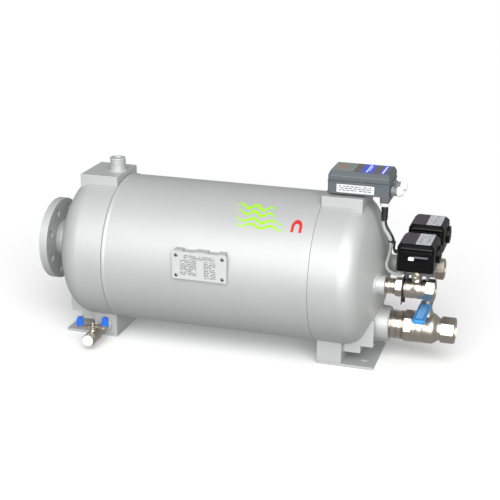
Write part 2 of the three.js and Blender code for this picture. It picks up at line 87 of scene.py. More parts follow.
LOWER = {"z": -115, "socket": 38.2, "stem_x": 224, "end": 287, "lever_z": -61}
MOTOR = {"y": 68, "z": -3, "stem_x": 210, "end": 249}
ACTUATOR = {"x0": 172, "x1": 248, "half": 46, "bottom": 47, "split": 92, "top": 105, "slot": (196, 237)}


def at(x, y, z):
    """A point given in millimetres from the right seam's centre, in the frame's metres."""
    return ORIGIN + Vector((x, y, z)) * MM


def inset(low, high, by):
    """A stretch drawn in at both ends."""
    return low + by, high - by


def outward(side, near, far):
    """A stretch measured outward from a seam, as its lowest and highest x."""
    return (LEFT_SEAM - far, LEFT_SEAM - near) if side < 0 else (near, far)


# ---- modelling ----
def deselect():
    if bpy.context.object and bpy.context.object.mode != "OBJECT":
        bpy.ops.object.mode_set(mode="OBJECT")
    bpy.ops.object.select_all(action="DESELECT")


def only(piece):
    deselect()
    piece.select_set(True)
    bpy.context.view_layer.objects.active = piece
    return piece


def settled(name):
    """Names the active piece and puts its place into its mesh."""
    if bpy.context.object.mode != "OBJECT":
        bpy.ops.object.mode_set(mode="OBJECT")
    piece = bpy.context.object
    piece.name = piece.data.name = name
    bpy.ops.object.transform_apply(location=True, rotation=True, scale=True)
    return piece


def eased(outline, radius, steps=4):
    """Rounds the corners of an outline. A closed outline ends on its first point."""
    closed = outline[0] == outline[-1]
    points = [Vector(p) for p in (outline[:-1] if closed else outline)]
    rounded = []
    for i, corner in enumerate(points):
        if not closed and i in (0, len(points) - 1):
            rounded.append(tuple(corner))
            continue
        before, after = points[i - 1], points[(i + 1) % len(points)]
        reach = min(radius, 0.45 * (before - corner).length, 0.45 * (after - corner).length)
        start = corner + (before - corner).normalized() * reach
        end = corner + (after - corner).normalized() * reach
        for step in range(steps + 1):
            t = step / steps
            rounded.append(tuple((1 - t) ** 2 * start + 2 * t * (1 - t) * corner + t * t * end))
    if closed:
        rounded.append(rounded[0])
    return rounded


def turned(name, outline, axis, centre, steps=64):
    """Turns an outline of (radius, distance along the axis) into a solid or a ring."""
    deselect()
    along, out = AXES[axis], AXES["X" if axis == "Z" else "Z"]
    points = [at(*centre) + (out * r + along * h) * MM for r, h in outline]
    bpy.ops.mesh.primitive_plane_add(size=MM, location=points[0])
    bpy.ops.object.mode_set(mode="EDIT")
    bpy.ops.mesh.select_mode(type="VERT")
    bpy.ops.mesh.select_all(action="SELECT")
    bpy.ops.mesh.merge(type="CENTER")
    for start, end in zip(points, points[1:]):
        bpy.ops.mesh.extrude_region_move(TRANSFORM_OT_translate={"value": end - start})
    bpy.ops.mesh.select_all(action="SELECT")
    bpy.ops.mesh.spin(steps=steps, angle=2 * math.pi, center=at(*centre), axis=along, use_auto_merge=True)
    bpy.ops.mesh.select_all(action="SELECT")
    bpy.ops.mesh.remove_doubles(threshold=0.002 * MM)
    bpy.ops.mesh.normals_make_consistent(inside=False)
    return settled(name)


def rod(name, radius, low, high, axis, centre, steps=64, ease=0.6):
    outline = eased([(0, low), (radius, low), (radius, high), (0, high)], ease)
    return turned(name, outline, axis, centre, steps)


def ring(name, radius, bore, low, high, axis, centre, steps=64, ease=0.6):
    outline = eased([(bore, low), (radius, low), (radius, high), (bore, high), (bore, low)], ease)
    return turned(name, outline, axis, centre, steps)


def plain_rod(radius, low, high, axis, centre, steps=48):
    """A cutting tool for a hole."""
    return turned("tool", [(0, low), (radius, low), (radius, high), (0, high)], axis, centre, steps)


def block(name, x, y, z):
    deselect()
    low, high = at(x[0], y[0], z[0]), at(x[1], y[1], z[1])
    bpy.ops.mesh.primitive_cube_add(size=1, location=(low + high) / 2, scale=high - low)
    return settled(name)


def select_edges(piece, chosen):
    """Selects in edit mode the edges whose two ends, in millimetres from the seam, pass a test."""
    bpy.ops.mesh.select_mode(type="EDGE")
    bpy.ops.mesh.select_all(action="DESELECT")
    mesh = bmesh.from_edit_mesh(piece.data)
    for edge in mesh.edges:
        ends = [(v.co - ORIGIN) / MM for v in edge.verts]
        edge.select = chosen(*ends)
    bmesh.update_edit_mesh(piece.data)


def select_faces(piece, chosen):
    """Selects in edit mode the faces whose middle, in millimetres, and normal pass a test."""
    bpy.ops.mesh.select_mode(type="FACE")
    bpy.ops.mesh.select_all(action="DESELECT")
    mesh = bmesh.from_edit_mesh(piece.data)
    for face in mesh.faces:
        face.select = chosen((face.calc_center_median() - ORIGIN) / MM, face.normal)
    bmesh.update_edit_mesh(piece.data)


def round_corners(piece, axis, radius, segments=6, within=None):
    """Rounds the edges that run along an axis, all of them or those that pass a test on their middle."""
    only(piece)
    bpy.ops.object.mode_set(mode="EDIT")
    index = "XYZ".index(axis)

    def along(a, b):
        straight = all(abs(a[i] - b[i]) < 0.01 for i in range(3) if i != index)
        return straight and abs(a[index] - b[index]) > 0.1 and (within is None or within((a + b) / 2))

    select_edges(piece, along)
    bpy.ops.mesh.bevel(offset=radius * MM, segments=segments, affect="EDGES", clamp_overlap=True)
    bpy.ops.object.mode_set(mode="OBJECT")
    return piece


def slab(name, x, y, z, axis, radius, segments=6):
    """A block whose edges along an axis are rounded."""
    return round_corners(block(name, x, y, z), axis, radius, segments)


def ease_edges(piece, width, segments=2, angle=32):
    only(piece)
    bpy.ops.object.modifier_add(type="BEVEL")
    bevel = piece.modifiers[-1]
    bevel.width, bevel.segments = width * MM, segments
    bevel.limit_method, bevel.angle_limit = "ANGLE", math.radians(angle)
    bpy.ops.object.modifier_apply(modifier=bevel.name)
    return piece


def boolean(piece, tool, operation):
    only(piece)
    bpy.ops.object.modifier_add(type="BOOLEAN")
    modifier = piece.modifiers[-1]
    modifier.operation, modifier.solver, modifier.object = operation, "EXACT", tool
    bpy.ops.object.modifier_apply(modifier=modifier.name)
    bpy.data.objects.remove(tool, do_unlink=True)
    return piece


def cut(piece, *tools):
    for tool in tools:
        boolean(piece, tool, "DIFFERENCE")
    return piece


def fuse(piece, *others):
    for other in others:
        boolean(piece, other, "UNION")
    return piece


def gather(name, pieces):
    """Joins pieces that are one part on the real object into one mesh."""
    deselect()
    for piece in pieces:
        piece.select_set(True)
    bpy.context.view_layer.objects.active = pieces[0]
    bpy.ops.object.join()
    return settled(name)


def repeated(piece, places):
    """A piece made for the first place, with copies on their own meshes at the others."""
    pieces, first = [piece], Vector(places[0])
    for place in places[1:]:
        only(piece)
        bpy.ops.object.duplicate()
        bpy.ops.transform.translate(value=(Vector(place) - first) * MM)
        pieces.append(settled(piece.name))
    return pieces


def stub(name, sides, radius, height, place, rotation=(0, 0, 0)):
    """A plain cylinder or flat-sided bar about a middle given in millimetres."""
    deselect()
    bpy.ops.mesh.primitive_cylinder_add(
        vertices=sides, radius=radius * MM, depth=height * MM, location=at(*place), rotation=rotation)
    return settled(name)


def closing_ball(name, radius, place, segments=48):
    deselect()
    bpy.ops.mesh.primitive_uv_sphere_add(
        segments=segments, ring_count=segments // 2, radius=radius * MM, location=at(*place))
    return settled(name)


def prism(name, sides, flats, x0, x1, centre):
    """A bar along X with flat sides, its corners turned off as on a nut."""
    corner = flats / (2 * math.cos(math.pi / sides))
    piece = stub(name, sides, corner, x1 - x0, ((x0 + x1) / 2, *centre[1:]), (0, math.pi / 2, 0))
    land = 0.488 * flats
    drop = (corner - land) * 0.6
    outline = [(0, x0 - 0.1), (land, x0 - 0.1), (corner + 0.3, x0 + drop), (corner + 0.3, x1 - drop),
               (land, x1 + 0.1), (0, x1 + 0.1)]
    return boolean(piece, turned("tool", outline, "X", centre, 64), "INTERSECT")


def tube_along(name, points, radius, cyclic=False, resolution=5):
    """A round bar that follows points given in millimetres."""
    deselect()
    bpy.ops.curve.primitive_bezier_curve_add(location=(0, 0, 0))
    curve = bpy.context.object
    curve.data.splines.clear()
    spline = curve.data.splines.new("POLY")
    spline.points.add(len(points) - 1)
    for target, point in zip(spline.points, points):
        target.co = (*at(*point), 1)
    spline.use_cyclic_u = cyclic
    curve.data.dimensions = "3D"
    curve.data.bevel_depth = radius * MM
    curve.data.bevel_resolution = resolution
    curve.data.use_fill_caps = not cyclic
    curve.name = curve.data.name = name
    return curve


def as_mesh(curve):
    only(curve)
    bpy.ops.object.convert(target="MESH")
    return settled(curve.name)


def smooth_path(points, spacing=3.0):
    """Centripetal Catmull-Rom through the points, as the frame's own leads are drawn."""
    knots = [Vector(p) for p in points]
    knots = [knots[0] * 2 - knots[1], *knots, knots[-1] * 2 - knots[-2]]
    path = []
    for p0, p1, p2, p3 in zip(knots, knots[1:], knots[2:], knots[3:]):
        t1 = (p1 - p0).length ** 0.5
        t2 = t1 + (p2 - p1).length ** 0.5
        t3 = t2 + (p3 - p2).length ** 0.5
        steps = max(2, round((p2 - p1).length / spacing))
        for step in range(steps):
            t = t1 + (t2 - t1) * step / steps
            a1 = p0 * ((t1 - t) / t1) + p1 * (t / t1)
            a2 = p1 * ((t2 - t) / (t2 - t1)) + p2 * ((t - t1) / (t2 - t1))
            a3 = p2 * ((t3 - t) / (t3 - t2)) + p3 * ((t - t2) / (t3 - t2))
            b1 = a1 * ((t2 - t) / t2) + a2 * (t / t2)
            b2 = a2 * ((t3 - t) / (t3 - t1)) + a3 * ((t - t1) / (t3 - t1))
            path.append(b1 * ((t2 - t) / (t2 - t1)) + b2 * ((t - t1) / (t2 - t1)))
    path.append(knots[-2])
    return path


def ready(piece, finish, slot, *replaced, body="vessel"):
    """Shades a finished piece, gives it its finish and hangs it on its body in place of CAD nodes."""
    only(piece)
    if piece.type == "MESH":
        bpy.ops.object.shade_smooth_by_angle(angle=SHARP_ANGLE)
        bpy.ops.object.modifier_add(type="WEIGHTED_NORMAL")
        piece.modifiers[-1].keep_sharp = True
        bpy.ops.object.modifier_apply(modifier=piece.modifiers[-1].name)
    piece.data.materials.clear()
    piece.data.materials.append(finish_of(finish))
    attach(piece, body)
    if replaced:
        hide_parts(*replaced)
    return piece


# ---- finishes ----
def colour(code):
    """An sRGB hex colour as linear red, green, blue and alpha."""
    parts = [int(code[i:i + 2], 16) / 255 for i in (1, 3, 5)]
    return (*[c / 12.92 if c <= 0.04045 else ((c + 0.055) / 1.055) ** 2.4 for c in parts], 1.0)


def add_node(tree, kind, inputs=None, **settings):
    """Adds a node with its settings; an input is a value or the socket that feeds it."""
    node = tree.nodes.new(kind)
    for name, value in settings.items():
        setattr(node, name, value)
    for name, value in (inputs or {}).items():
        if isinstance(value, bpy.types.NodeSocket):
            tree.links.new(value, node.inputs[name])
        else:
            node.inputs[name].default_value = value
    return node


def dimmed(base, share):
    """A colour made darker, or lighter up to white."""
    return (*[min(1.0, c * share) for c in base[:3]], 1.0)


def feed(tree, shader, **sockets):
    """Links values to the shader's own sockets."""
    for name, socket in sockets.items():
        tree.links.new(socket, shader.inputs[name.replace("_", " ").title()])


def new_finish(name, base, metallic, roughness, **extra):
    """A material with its shader and its object coordinates."""
    material = bpy.data.materials.new(name)
    material.use_nodes = True
    tree = material.node_tree
    tree.nodes.clear()
    shader = add_node(tree, "ShaderNodeBsdfPrincipled", {
        "Base Color": base, "Metallic": metallic, "Roughness": roughness, **extra})
    add_node(tree, "ShaderNodeOutputMaterial", {"Surface": shader.outputs["BSDF"]})
    place = add_node(tree, "ShaderNodeTexCoord").outputs["Object"]
    return material, tree, shader, place


def grain(tree, place, size_mm, detail=2.0, stretch=(1, 1, 1)):
    """Noise whose features are about size_mm across."""
    spot = add_node(tree, "ShaderNodeMapping", {"Vector": place, "Scale": stretch}).outputs["Vector"]
    return add_node(tree, "ShaderNodeTexNoise", {
        "Vector": spot, "Scale": 1 / (size_mm * MM), "Detail": detail, "Roughness": 0.5}).outputs["Fac"]


def spread(tree, value, low, high):
    """A 0 to 1 value spread between two numbers."""
    return add_node(tree, "ShaderNodeMapRange", {"Value": value, "To Min": low,
                                                 "To Max": high}).outputs["Result"]


def mixed(tree, factor, first, second):
    node = add_node(tree, "ShaderNodeMix", data_type="RGBA")
    for index, value in ((0, factor), (6, first), (7, second)):
        if isinstance(value, bpy.types.NodeSocket):
            tree.links.new(value, node.inputs[index])
        else:
            node.inputs[index].default_value = value
    return node.outputs[2]


def bumped(tree, shader, height, depth_mm, strength=1.0):
    bump = add_node(tree, "ShaderNodeBump", {"Height": height, "Distance": depth_mm * MM,
                                             "Strength": strength})
    tree.links.new(bump.outputs["Normal"], shader.inputs["Normal"])


def reach(tree, place, axis, low, high):
    """1 between two places along an axis, in millimetres from the seam, and 0 outside."""
    value = add_node(tree, "ShaderNodeSeparateXYZ", {"Vector": place}).outputs[axis]
    start = ORIGIN["XYZ".index(axis)]
    above = add_node(tree, "ShaderNodeMath", {0: value, 1: start + low * MM}, operation="GREATER_THAN")
    below = add_node(tree, "ShaderNodeMath", {0: value, 1: start + high * MM}, operation="LESS_THAN")
    return product(tree, above.outputs[0], below.outputs[0])


def product(tree, first, second):
    return add_node(tree, "ShaderNodeMath", {0: first, 1: second}, operation="MULTIPLY").outputs[0]


def print_lines(tree, place, down, line_mm, word_mm, density=0.5):
    """Rows of short dashes that stand for small print, running along X and stacked along an axis."""
    split = add_node(tree, "ShaderNodeSeparateXYZ", {"Vector": place})
    flat = add_node(tree, "ShaderNodeCombineXYZ", {"X": split.outputs["X"], "Y": split.outputs[down]})
    words = add_node(tree, "ShaderNodeTexBrick", {"Vector": flat.outputs["Vector"], "Scale": 1.0,
                                                  "Mortar Size": 0.22 * line_mm * MM, "Mortar Smooth": 0.1,
                                                  "Brick Width": word_mm * MM, "Row Height": line_mm * MM},
                     offset=0.37)
    dash = add_node(tree, "ShaderNodeMath", {0: 1.0, 1: words.outputs["Fac"]},
                    operation="SUBTRACT").outputs[0]
    noise = grain(tree, flat.outputs["Vector"], word_mm * 0.8, 3.0)
    kept = add_node(tree, "ShaderNodeMath", {0: noise, 1: density}, operation="GREATER_THAN").outputs[0]
    return product(tree, dash, kept)


def silver_enamel(name, base):
    """Stoved aluminium-grey enamel over steel: satin, with a faint orange peel and soft shade changes."""
    material, tree, shader, place = new_finish(name, base, 0.3, 0.5)
    cloud = grain(tree, place, 90, 3.0)
    tone = mixed(tree, spread(tree, cloud, 0.0, 1.0), base, dimmed(base, 0.93))
    feed(tree, shader, base_color=tone, roughness=spread(tree, grain(tree, place, 30), 0.44, 0.56))
    # real orange peel is about 1 mm across; 2.5 mm lets it show
    bumped(tree, shader, grain(tree, place, 2.5), 0.05, 0.35)
    shader.inputs["Coat Weight"].default_value = 0.15
    shader.inputs["Coat Roughness"].default_value = 0.25
    return material


def welded_enamel(name, base):
    """The same enamel over weld beads, whose ripples about 2 mm apart show through."""
    material, tree, shader, place = new_finish(name, base, 0.3, 0.5)
    bumped(tree, shader, grain(tree, place, 2.2, 1.0), 0.5, 0.7)
    feed(tree, shader, roughness=spread(tree, grain(tree, place, 6), 0.42, 0.58))
    return material


def forged_nickel(name, base):
    """Nickel plate over a shot-blasted brass forging: warm, soft gloss with a fine sandy grain."""
    material, tree, shader, place = new_finish(name, base, 1.0, 0.3)
    cloud = grain(tree, place, 14, 4.0)
    tone = mixed(tree, cloud, base, dimmed(base, 0.82))
    feed(tree, shader, base_color=tone, roughness=spread(tree, grain(tree, place, 5, 3.0), 0.22, 0.42))
    # shot-blast grain is about 0.3 mm; drawn at 0.8 mm so that it shows
    bumped(tree, shader, grain(tree, place, 0.8), 0.06, 0.5)
    return material


def machined_metal(name, base, axis, pitch_mm=0.5):
    """Turned and plated metal: bright, with fine tool rings around its axis."""
    material, tree, shader, place = new_finish(name, base, 1.0, 0.22)
    rings = add_node(tree, "ShaderNodeTexWave", {
        "Vector": place, "Scale": 0.314 / (pitch_mm * MM), "Distortion": 0.4, "Detail": 1.0},
        bands_direction=axis, wave_profile="SIN").outputs["Fac"]
    feed(tree, shader, roughness=spread(tree, grain(tree, place, 9, 3.0), 0.14, 0.34))
    tone = mixed(tree, grain(tree, place, 11, 2.0), base, dimmed(base, 0.86))
    feed(tree, shader, base_color=tone)
    bumped(tree, shader, rings, 0.03, 0.4)
    return material


def brushed_steel(name, base, stretch=(1, 30, 30)):
    """Brushed stainless steel: long fine scratches along the part and an even grey shine."""
    material, tree, shader, place = new_finish(name, base, 1.0, 0.32)
    scratch = grain(tree, place, 30, 4.0, stretch)
    feed(tree, shader, roughness=spread(tree, scratch, 0.22, 0.46))
    bumped(tree, shader, scratch, 0.03, 0.4)
    tone = mixed(tree, scratch, base, dimmed(base, 0.85))
    feed(tree, shader, base_color=tone)
    return material


def moulded_plastic(name, base, roughness=0.5, texture_mm=1.0, depth_mm=0.06, shine=0.5):
    """Injection-moulded ABS or nylon: even colour, spark-eroded grain and slight gloss changes."""
    material, tree, shader, place = new_finish(name, base, 0.0, roughness)
    shader.inputs["Specular IOR Level"].default_value = shine
    cloud = grain(tree, place, 25, 2.0)
    tone = mixed(tree, cloud, base, dimmed(base, 1.12))
    feed(tree, shader, base_color=tone, roughness=spread(tree, grain(tree, place, 8),
                                                         roughness - 0.07, roughness + 0.08))
    bumped(tree, shader, grain(tree, place, texture_mm), depth_mm, 0.6)
    return material


def dipped_vinyl(name, base):
    """Soft vinyl dipped over a steel lever: saturated, slightly waxy gloss with faint sags."""
    material, tree, shader, place = new_finish(name, base, 0.0, 0.38)
    shader.inputs["Coat Weight"].default_value = 0.3
    shader.inputs["Coat Roughness"].default_value = 0.2
    wave = grain(tree, place, 7, 2.0)
    feed(tree, shader, base_color=mixed(tree, wave, base, dimmed(base, 0.8)))
    bumped(tree, shader, wave, 0.15, 0.4)
    return material


def cable_sheath(name, base, roughness=0.45):
    """Extruded PVC cable sheath: dull gloss with faint scuffs along its length."""
    material, tree, shader, place = new_finish(name, base, 0.0, roughness)
    scuff = grain(tree, place, 5, 4.0)
    feed(tree, shader, base_color=mixed(tree, scuff, base, dimmed(base, 0.8)),
         roughness=spread(tree, scuff, roughness - 0.1, roughness + 0.12))
    bumped(tree, shader, grain(tree, place, 1.2), 0.04, 0.4)
    return material


def printed_film(name, base, ink, down, line_mm, word_mm, blocks, metallic=0.0, density=0.5):
    """A printed polyester label: satin film with blocks of small print, each (left, right, low, high)."""
    material, tree, shader, place = new_finish(name, base, metallic, 0.35)
    tone = base
    for left, right, low, high in blocks:
        inside = product(tree, reach(tree, place, "X", left, right), reach(tree, place, down, low, high))
        marks = product(tree, print_lines(tree, place, down, line_mm, word_mm, density), inside)
        tone = mixed(tree, marks, tone, ink)
    feed(tree, shader, base_color=tone, roughness=spread(tree, grain(tree, place, 12), 0.28, 0.42))
    return material


def actuator_film(name, y):
    """The silver printed film on an actuator's cover."""
    x0, x1, half = list(ACTUATOR.values())[:3]
    return printed_film(
        f"{name}_silver_printed_film", colour("#c9cccf"), colour("#55585c"), "Y", 5.2, 9.0,
        ((x0 + 39, x1 - 12, *inset(y - half, y + half, 13)),), 0.2, 0.5)


def circuit_board(name, base, copper):
    """Solder-masked glass-epoxy board: deep green with paler copper tracks under the mask."""
    material, tree, shader, place = new_finish(name, base, 0.0, 0.3)
    tracks = add_node(tree, "ShaderNodeTexBrick", {
        "Vector": place, "Scale": 1.0, "Brick Width": 9 * MM, "Row Height": 3 * MM, "Mortar Size": 0.35 * MM},
        offset=0.3).outputs["Fac"]
    feed(tree, shader, base_color=mixed(tree, tracks, base, copper))
    bumped(tree, shader, tracks, 0.05, 0.5)
    return material


def sintered_magnet(name, base):
    """Nickel-plated sintered magnet: dark grey metal with a fine granular surface."""
    material, tree, shader, place = new_finish(name, base, 0.9, 0.42)
    bumped(tree, shader, grain(tree, place, 1.5, 4.0), 0.08, 0.6)
    feed(tree, shader, roughness=spread(tree, grain(tree, place, 4), 0.32, 0.52))
    return material


def pale_floor(name, base):
    """A matt pale studio floor."""
    material, tree, shader, place = new_finish(name, base, 0.0, 0.9)
    feed(tree, shader, roughness=spread(tree, grain(tree, place, 400), 0.85, 0.95))
    return material


class FilterFinish(bpy.types.PropertyGroup):
    """Colours of the filter's finishes."""
    enamel: bpy.props.FloatVectorProperty(
        name="Vessel enamel", description="Colour of the vessel's silver-grey enamel", subtype="COLOR",
        size=4, min=0, max=1, default=colour("#b2b4b3"))
    nickel: bpy.props.FloatVectorProperty(
        name="Nickel plate", description="Colour of the plated valves", subtype="COLOR", size=4, min=0, max=1,
        default=colour("#cdc5b9"))
    lever: bpy.props.FloatVectorProperty(
        name="Lever sleeve", description="Colour of the outlet lever's vinyl sleeve", subtype="COLOR", size=4,
        min=0, max=1, default=colour("#2a8ad2"))
    drain_handle: bpy.props.FloatVectorProperty(
        name="Drain handle", description="Colour of the drain valve's handle", subtype="COLOR", size=4, min=0,
        max=1, default=colour("#0b5fc6"))
    controller: bpy.props.FloatVectorProperty(
        name="Controller case", description="Colour of the controller's case", subtype="COLOR", size=4, min=0,
        max=1, default=colour("#51565a"))
    flow_mark: bpy.props.FloatVectorProperty(
        name="Flow mark", description="Colour of the printed flow lines", subtype="COLOR", size=4, min=0,
        max=1, default=colour("#8ccb1e"))
    magnet_mark: bpy.props.FloatVectorProperty(
        name="Magnet mark", description="Colour of the printed magnet", subtype="COLOR", size=4, min=0, max=1,
        default=colour("#b5201a"))


class FilterSizes(bpy.types.PropertyGroup):
    """Small sizes that change how the pieces look but not where they stand."""
    ease: bpy.props.FloatProperty(
        name="Edge easing", description="Rounding of cut steel edges, in millimetres", default=1.0,
        min=0.2, max=2.0)
    weld: bpy.props.FloatProperty(
        name="Weld bead", description="Radius of the weld beads, in millimetres", default=2.6, min=1.0,
        max=4.0)
    seam: bpy.props.FloatProperty(
        name="Seam chamfer", description="Chamfer at the vessel's seams, in millimetres", default=1.3,
        min=0.2, max=2.5)
    cable: bpy.props.FloatProperty(
        name="Actuator lead", description="Radius of the rear actuator's lead, in millimetres", default=3.4,
        min=2.0, max=4.0)
    strap: bpy.props.FloatProperty(
        name="Cable tie", description="Width of the cable ties, in millimetres", default=4.6, min=2.0,
        max=8.0)


class StudioSettings(bpy.types.PropertyGroup):
    """The camera and the light."""
    place: bpy.props.FloatVectorProperty(
        name="Camera place", description="Where the camera stands", subtype="TRANSLATION", unit="LENGTH",
        size=3, default=(0.72065, -2.33905, 1.05418))
    azimuth: bpy.props.FloatProperty(
        name="Azimuth", description="Camera direction round the object from its front", subtype="ANGLE",
        default=math.radians(16.969))
    elevation: bpy.props.FloatProperty(
        name="Elevation", description="Camera height angle", subtype="ANGLE", default=math.radians(18.89))
    roll: bpy.props.FloatProperty(
        name="Roll", description="Camera roll", subtype="ANGLE", default=math.radians(0.466))
    lens: bpy.props.FloatProperty(
        name="Lens", description="Focal length on a 36 mm sensor, in millimetres", subtype="DISTANCE_CAMERA",
        default=84.74)
    front_power: bpy.props.FloatProperty(
        name="Front light", description="Strength of the broad light from the camera's side", default=5.0,
        min=0)
    key_power: bpy.props.FloatProperty(
        name="Key light", description="Power of the large soft box in front", subtype="POWER",
        default=5.0, min=0)
    sky: bpy.props.FloatProperty(
        name="Surrounding light", description="Strength of the white surroundings", default=0.38, min=0)


FINISHES = {}


def finish_of(name):
    """Makes a finish the first time it is asked for."""
    colours = bpy.context.scene.filter_finish
    enamel, nickel = tuple(colours.enamel), tuple(colours.nickel)
    makers = {
        "enamel": lambda: silver_enamel("silver_enamel", enamel),
        "welds": lambda: welded_enamel("silver_enamel_over_weld", enamel),
        "forged": lambda: forged_nickel("forged_nickel_plate", nickel),
        "turned_x": lambda: machined_metal("turned_nickel_plate_x", nickel, "X"),
        "turned_y": lambda: machined_metal("turned_nickel_plate_y", nickel, "Y"),
        "turned_z": lambda: machined_metal("turned_nickel_plate_z", nickel, "Z"),
        "stainless": lambda: brushed_steel("brushed_stainless_steel", colour("#c3c5c6")),
        "screw_steel": lambda: brushed_steel("darkened_screw_steel", colour("#7c7e80"), (1, 1, 1)),
        "chromed_ball": lambda: brushed_steel("chromed_brass_ball", colour("#d5d6d8"), (1, 1, 1)),
        "sleeve": lambda: dipped_vinyl("blue_dipped_vinyl", tuple(colours.lever)),
        "pips": lambda: dipped_vinyl("pale_blue_grip_pips", colour("#a9d3ee")),
        "butterfly": lambda: dipped_vinyl("blue_epoxy_powder_coat", tuple(colours.drain_handle)),
        "case": lambda: moulded_plastic("slate_abs", tuple(colours.controller), 0.42),
        "bracket": lambda: moulded_plastic("grey_glass_filled_nylon", colour("#5d6165"), 0.5),
        "housing": lambda: moulded_plastic("black_abs", colour("#040404"), 0.3, 1.0, 0.03, 0.22),
        "cover_film": lambda: moulded_plastic("charcoal_cover_film", colour("#39343a"), 0.45, 1.0, 0.01),
        "nylon": lambda: moulded_plastic("white_nylon", colour("#dcdedc"), 0.4, 1.0, 0.02),
        "dome": lambda: moulded_plastic("pale_grey_nylon_dome", colour("#d6d9d7"), 0.4, 1.0, 0.02),
        "gland": lambda: moulded_plastic("grey_nylon_gland", colour("#707478"), 0.45),
        "tie": lambda: moulded_plastic("black_nylon_tie", colour("#101011"), 0.38, 1.0, 0.02),
        "black_sheath": lambda: cable_sheath("black_pvc_sheath", colour("#141415"), 0.4),
        "grey_sheath": lambda: cable_sheath("grey_pvc_sheath", colour("#a3a7a3"), 0.48),
        "flow_ink": lambda: moulded_plastic("green_screen_ink", tuple(colours.flow_mark), 0.4, 3.0, 0.01),
        "magnet_ink": lambda: moulded_plastic("red_screen_ink", tuple(colours.magnet_mark), 0.4, 3.0, 0.01),
        "plate": lambda: printed_film(
            "etched_aluminium_plate", colour("#d0d2d1"), colour("#86888a"), "Z", 3.8, 11.0,
            ((PLATE["x0"] + 26, PLATE["x1"] - 26, PLATE["z1"] - 15, PLATE["z1"] - 6.4),
             (PLATE["x0"] + 18, PLATE["x0"] + 54, PLATE["z0"] + 10, PLATE["z1"] - 16),
             (PLATE["x0"] + 70, PLATE["x1"] - 24, PLATE["z0"] + 6, PLATE["z1"] - 18)), 0.4, 0.42),
        "case_label": lambda: printed_film(
            "white_printed_film", colour("#cfd2d4"), colour("#6d7074"), "Z", 4.2, 9.0,
            ((34, 103, 184, 197),), 0.0, 0.35),
        "front_film": lambda: actuator_film("front", -MOTOR["y"]),
        "rear_film": lambda: actuator_film("rear", MOTOR["y"]),
        "strip_label": lambda: moulded_plastic("brown_grey_printed_film", colour("#5a5251"), 0.34, 1.0, 0.01),
        "strip_blue": lambda: moulded_plastic("blue_printed_film", colour("#2f4fd6"), 0.34, 1.0, 0.01),
        "strip_white": lambda: moulded_plastic("white_ink_on_film", colour("#f2f4f8"), 0.36, 1.0, 0.01),
        "keypad": lambda: moulded_plastic("grey_green_membrane_film", colour("#6f7b76"), 0.36, 1.0, 0.01),
        "keypad_red": lambda: moulded_plastic(
            "red_brown_membrane_window", colour("#8a6d62"), 0.25, 1.0, 0.01),
        "board": lambda: circuit_board("circuit_board_mask", colour("#17602f"), colour("#6fae5e")),
        "magnet": lambda: sintered_magnet("nickel_plated_magnet", colour("#6b6e72")),
        "floor": lambda: pale_floor("pale_floor", colour("#f6f6f6")),
    }
    if name not in FINISHES:
        FINISHES[name] = makers[name]()
    return FINISHES[name]


# ---- the vessel's shape ----
def head_outline(offset, knuckle_steps=14, crown_steps=16):
    """The outline of a dished head from its rim to its middle, grown by an offset."""
    centre = VESSEL_RADIUS - HEAD["knuckle"]
    blend = math.asin(centre / (HEAD["crown"] - HEAD["knuckle"]))
    crown_x = HEAD["straight"] - (HEAD["crown"] - HEAD["knuckle"]) * math.cos(blend)
    outline = [(VESSEL_RADIUS + offset, 0)]
    for i in range(knuckle_steps + 1):
        turn = (math.pi / 2 - blend) * i / knuckle_steps
        radius = HEAD["knuckle"] + offset
        outline.append((centre + radius * math.cos(turn), HEAD["straight"] + radius * math.sin(turn)))
    for i in range(1, crown_steps + 1):
        turn = blend * (1 - i / crown_steps)
        radius = HEAD["crown"] + offset
        outline.append((radius * math.sin(turn), crown_x + radius * math.cos(turn)))
    return outline


def head_reach(radius):
    """How far out of its seam a head stands at a distance from its axis."""
    outline = head_outline(0, 40, 60)
    for (r0, h0), (r1, h1) in zip(outline, outline[1:]):
        if r1 <= radius <= r0 and r0 > r1:
            return h0 + (h1 - h0) * (r0 - radius) / (r0 - r1)
    return outline[-1][1]


def vessel_tool(offset):
    """The whole vessel's outside, grown a little, to cut what stands against it."""
    right = head_outline(offset)
    left = [(r, LEFT_SEAM - h) for r, h in reversed(right)]
    return turned("tool", left + right, "X", (0, 0, 0), ROUND)


def head(name, side):
    outer = head_outline(0)
    inner = [(r, max(h, 0)) for r, h in reversed(head_outline(-WALL))]
    chamfer = bpy.context.scene.filter_sizes.seam
    rim = [(VESSEL_RADIUS - WALL, SEAM_GAP), (VESSEL_RADIUS - chamfer, SEAM_GAP),
           (VESSEL_RADIUS - 0.3 * chamfer, 0.35 * chamfer), (VESSEL_RADIUS, chamfer)]
    outline = rim + outer[1:] + inner[:-1] + [rim[0]]
    flipped = [(r, side * h) for r, h in outline]
    return turned(name, flipped, "X", (LEFT_SEAM if side < 0 else 0, 0, 0), 128)


def socket_weld(name, side, radius, y, z):
    """A weld bead where a round socket, parallel to X, meets a head."""
    points = []
    for i in range(64):
        turn = 2 * math.pi * i / 64
        py, pz = y + radius * math.cos(turn), z + radius * math.sin(turn)
        out = head_reach(math.hypot(py, pz))
        points.append((LEFT_SEAM - out if side < 0 else out, py, pz))
    return as_mesh(tube_along(name, points, bpy.context.scene.filter_sizes.weld, cyclic=True))


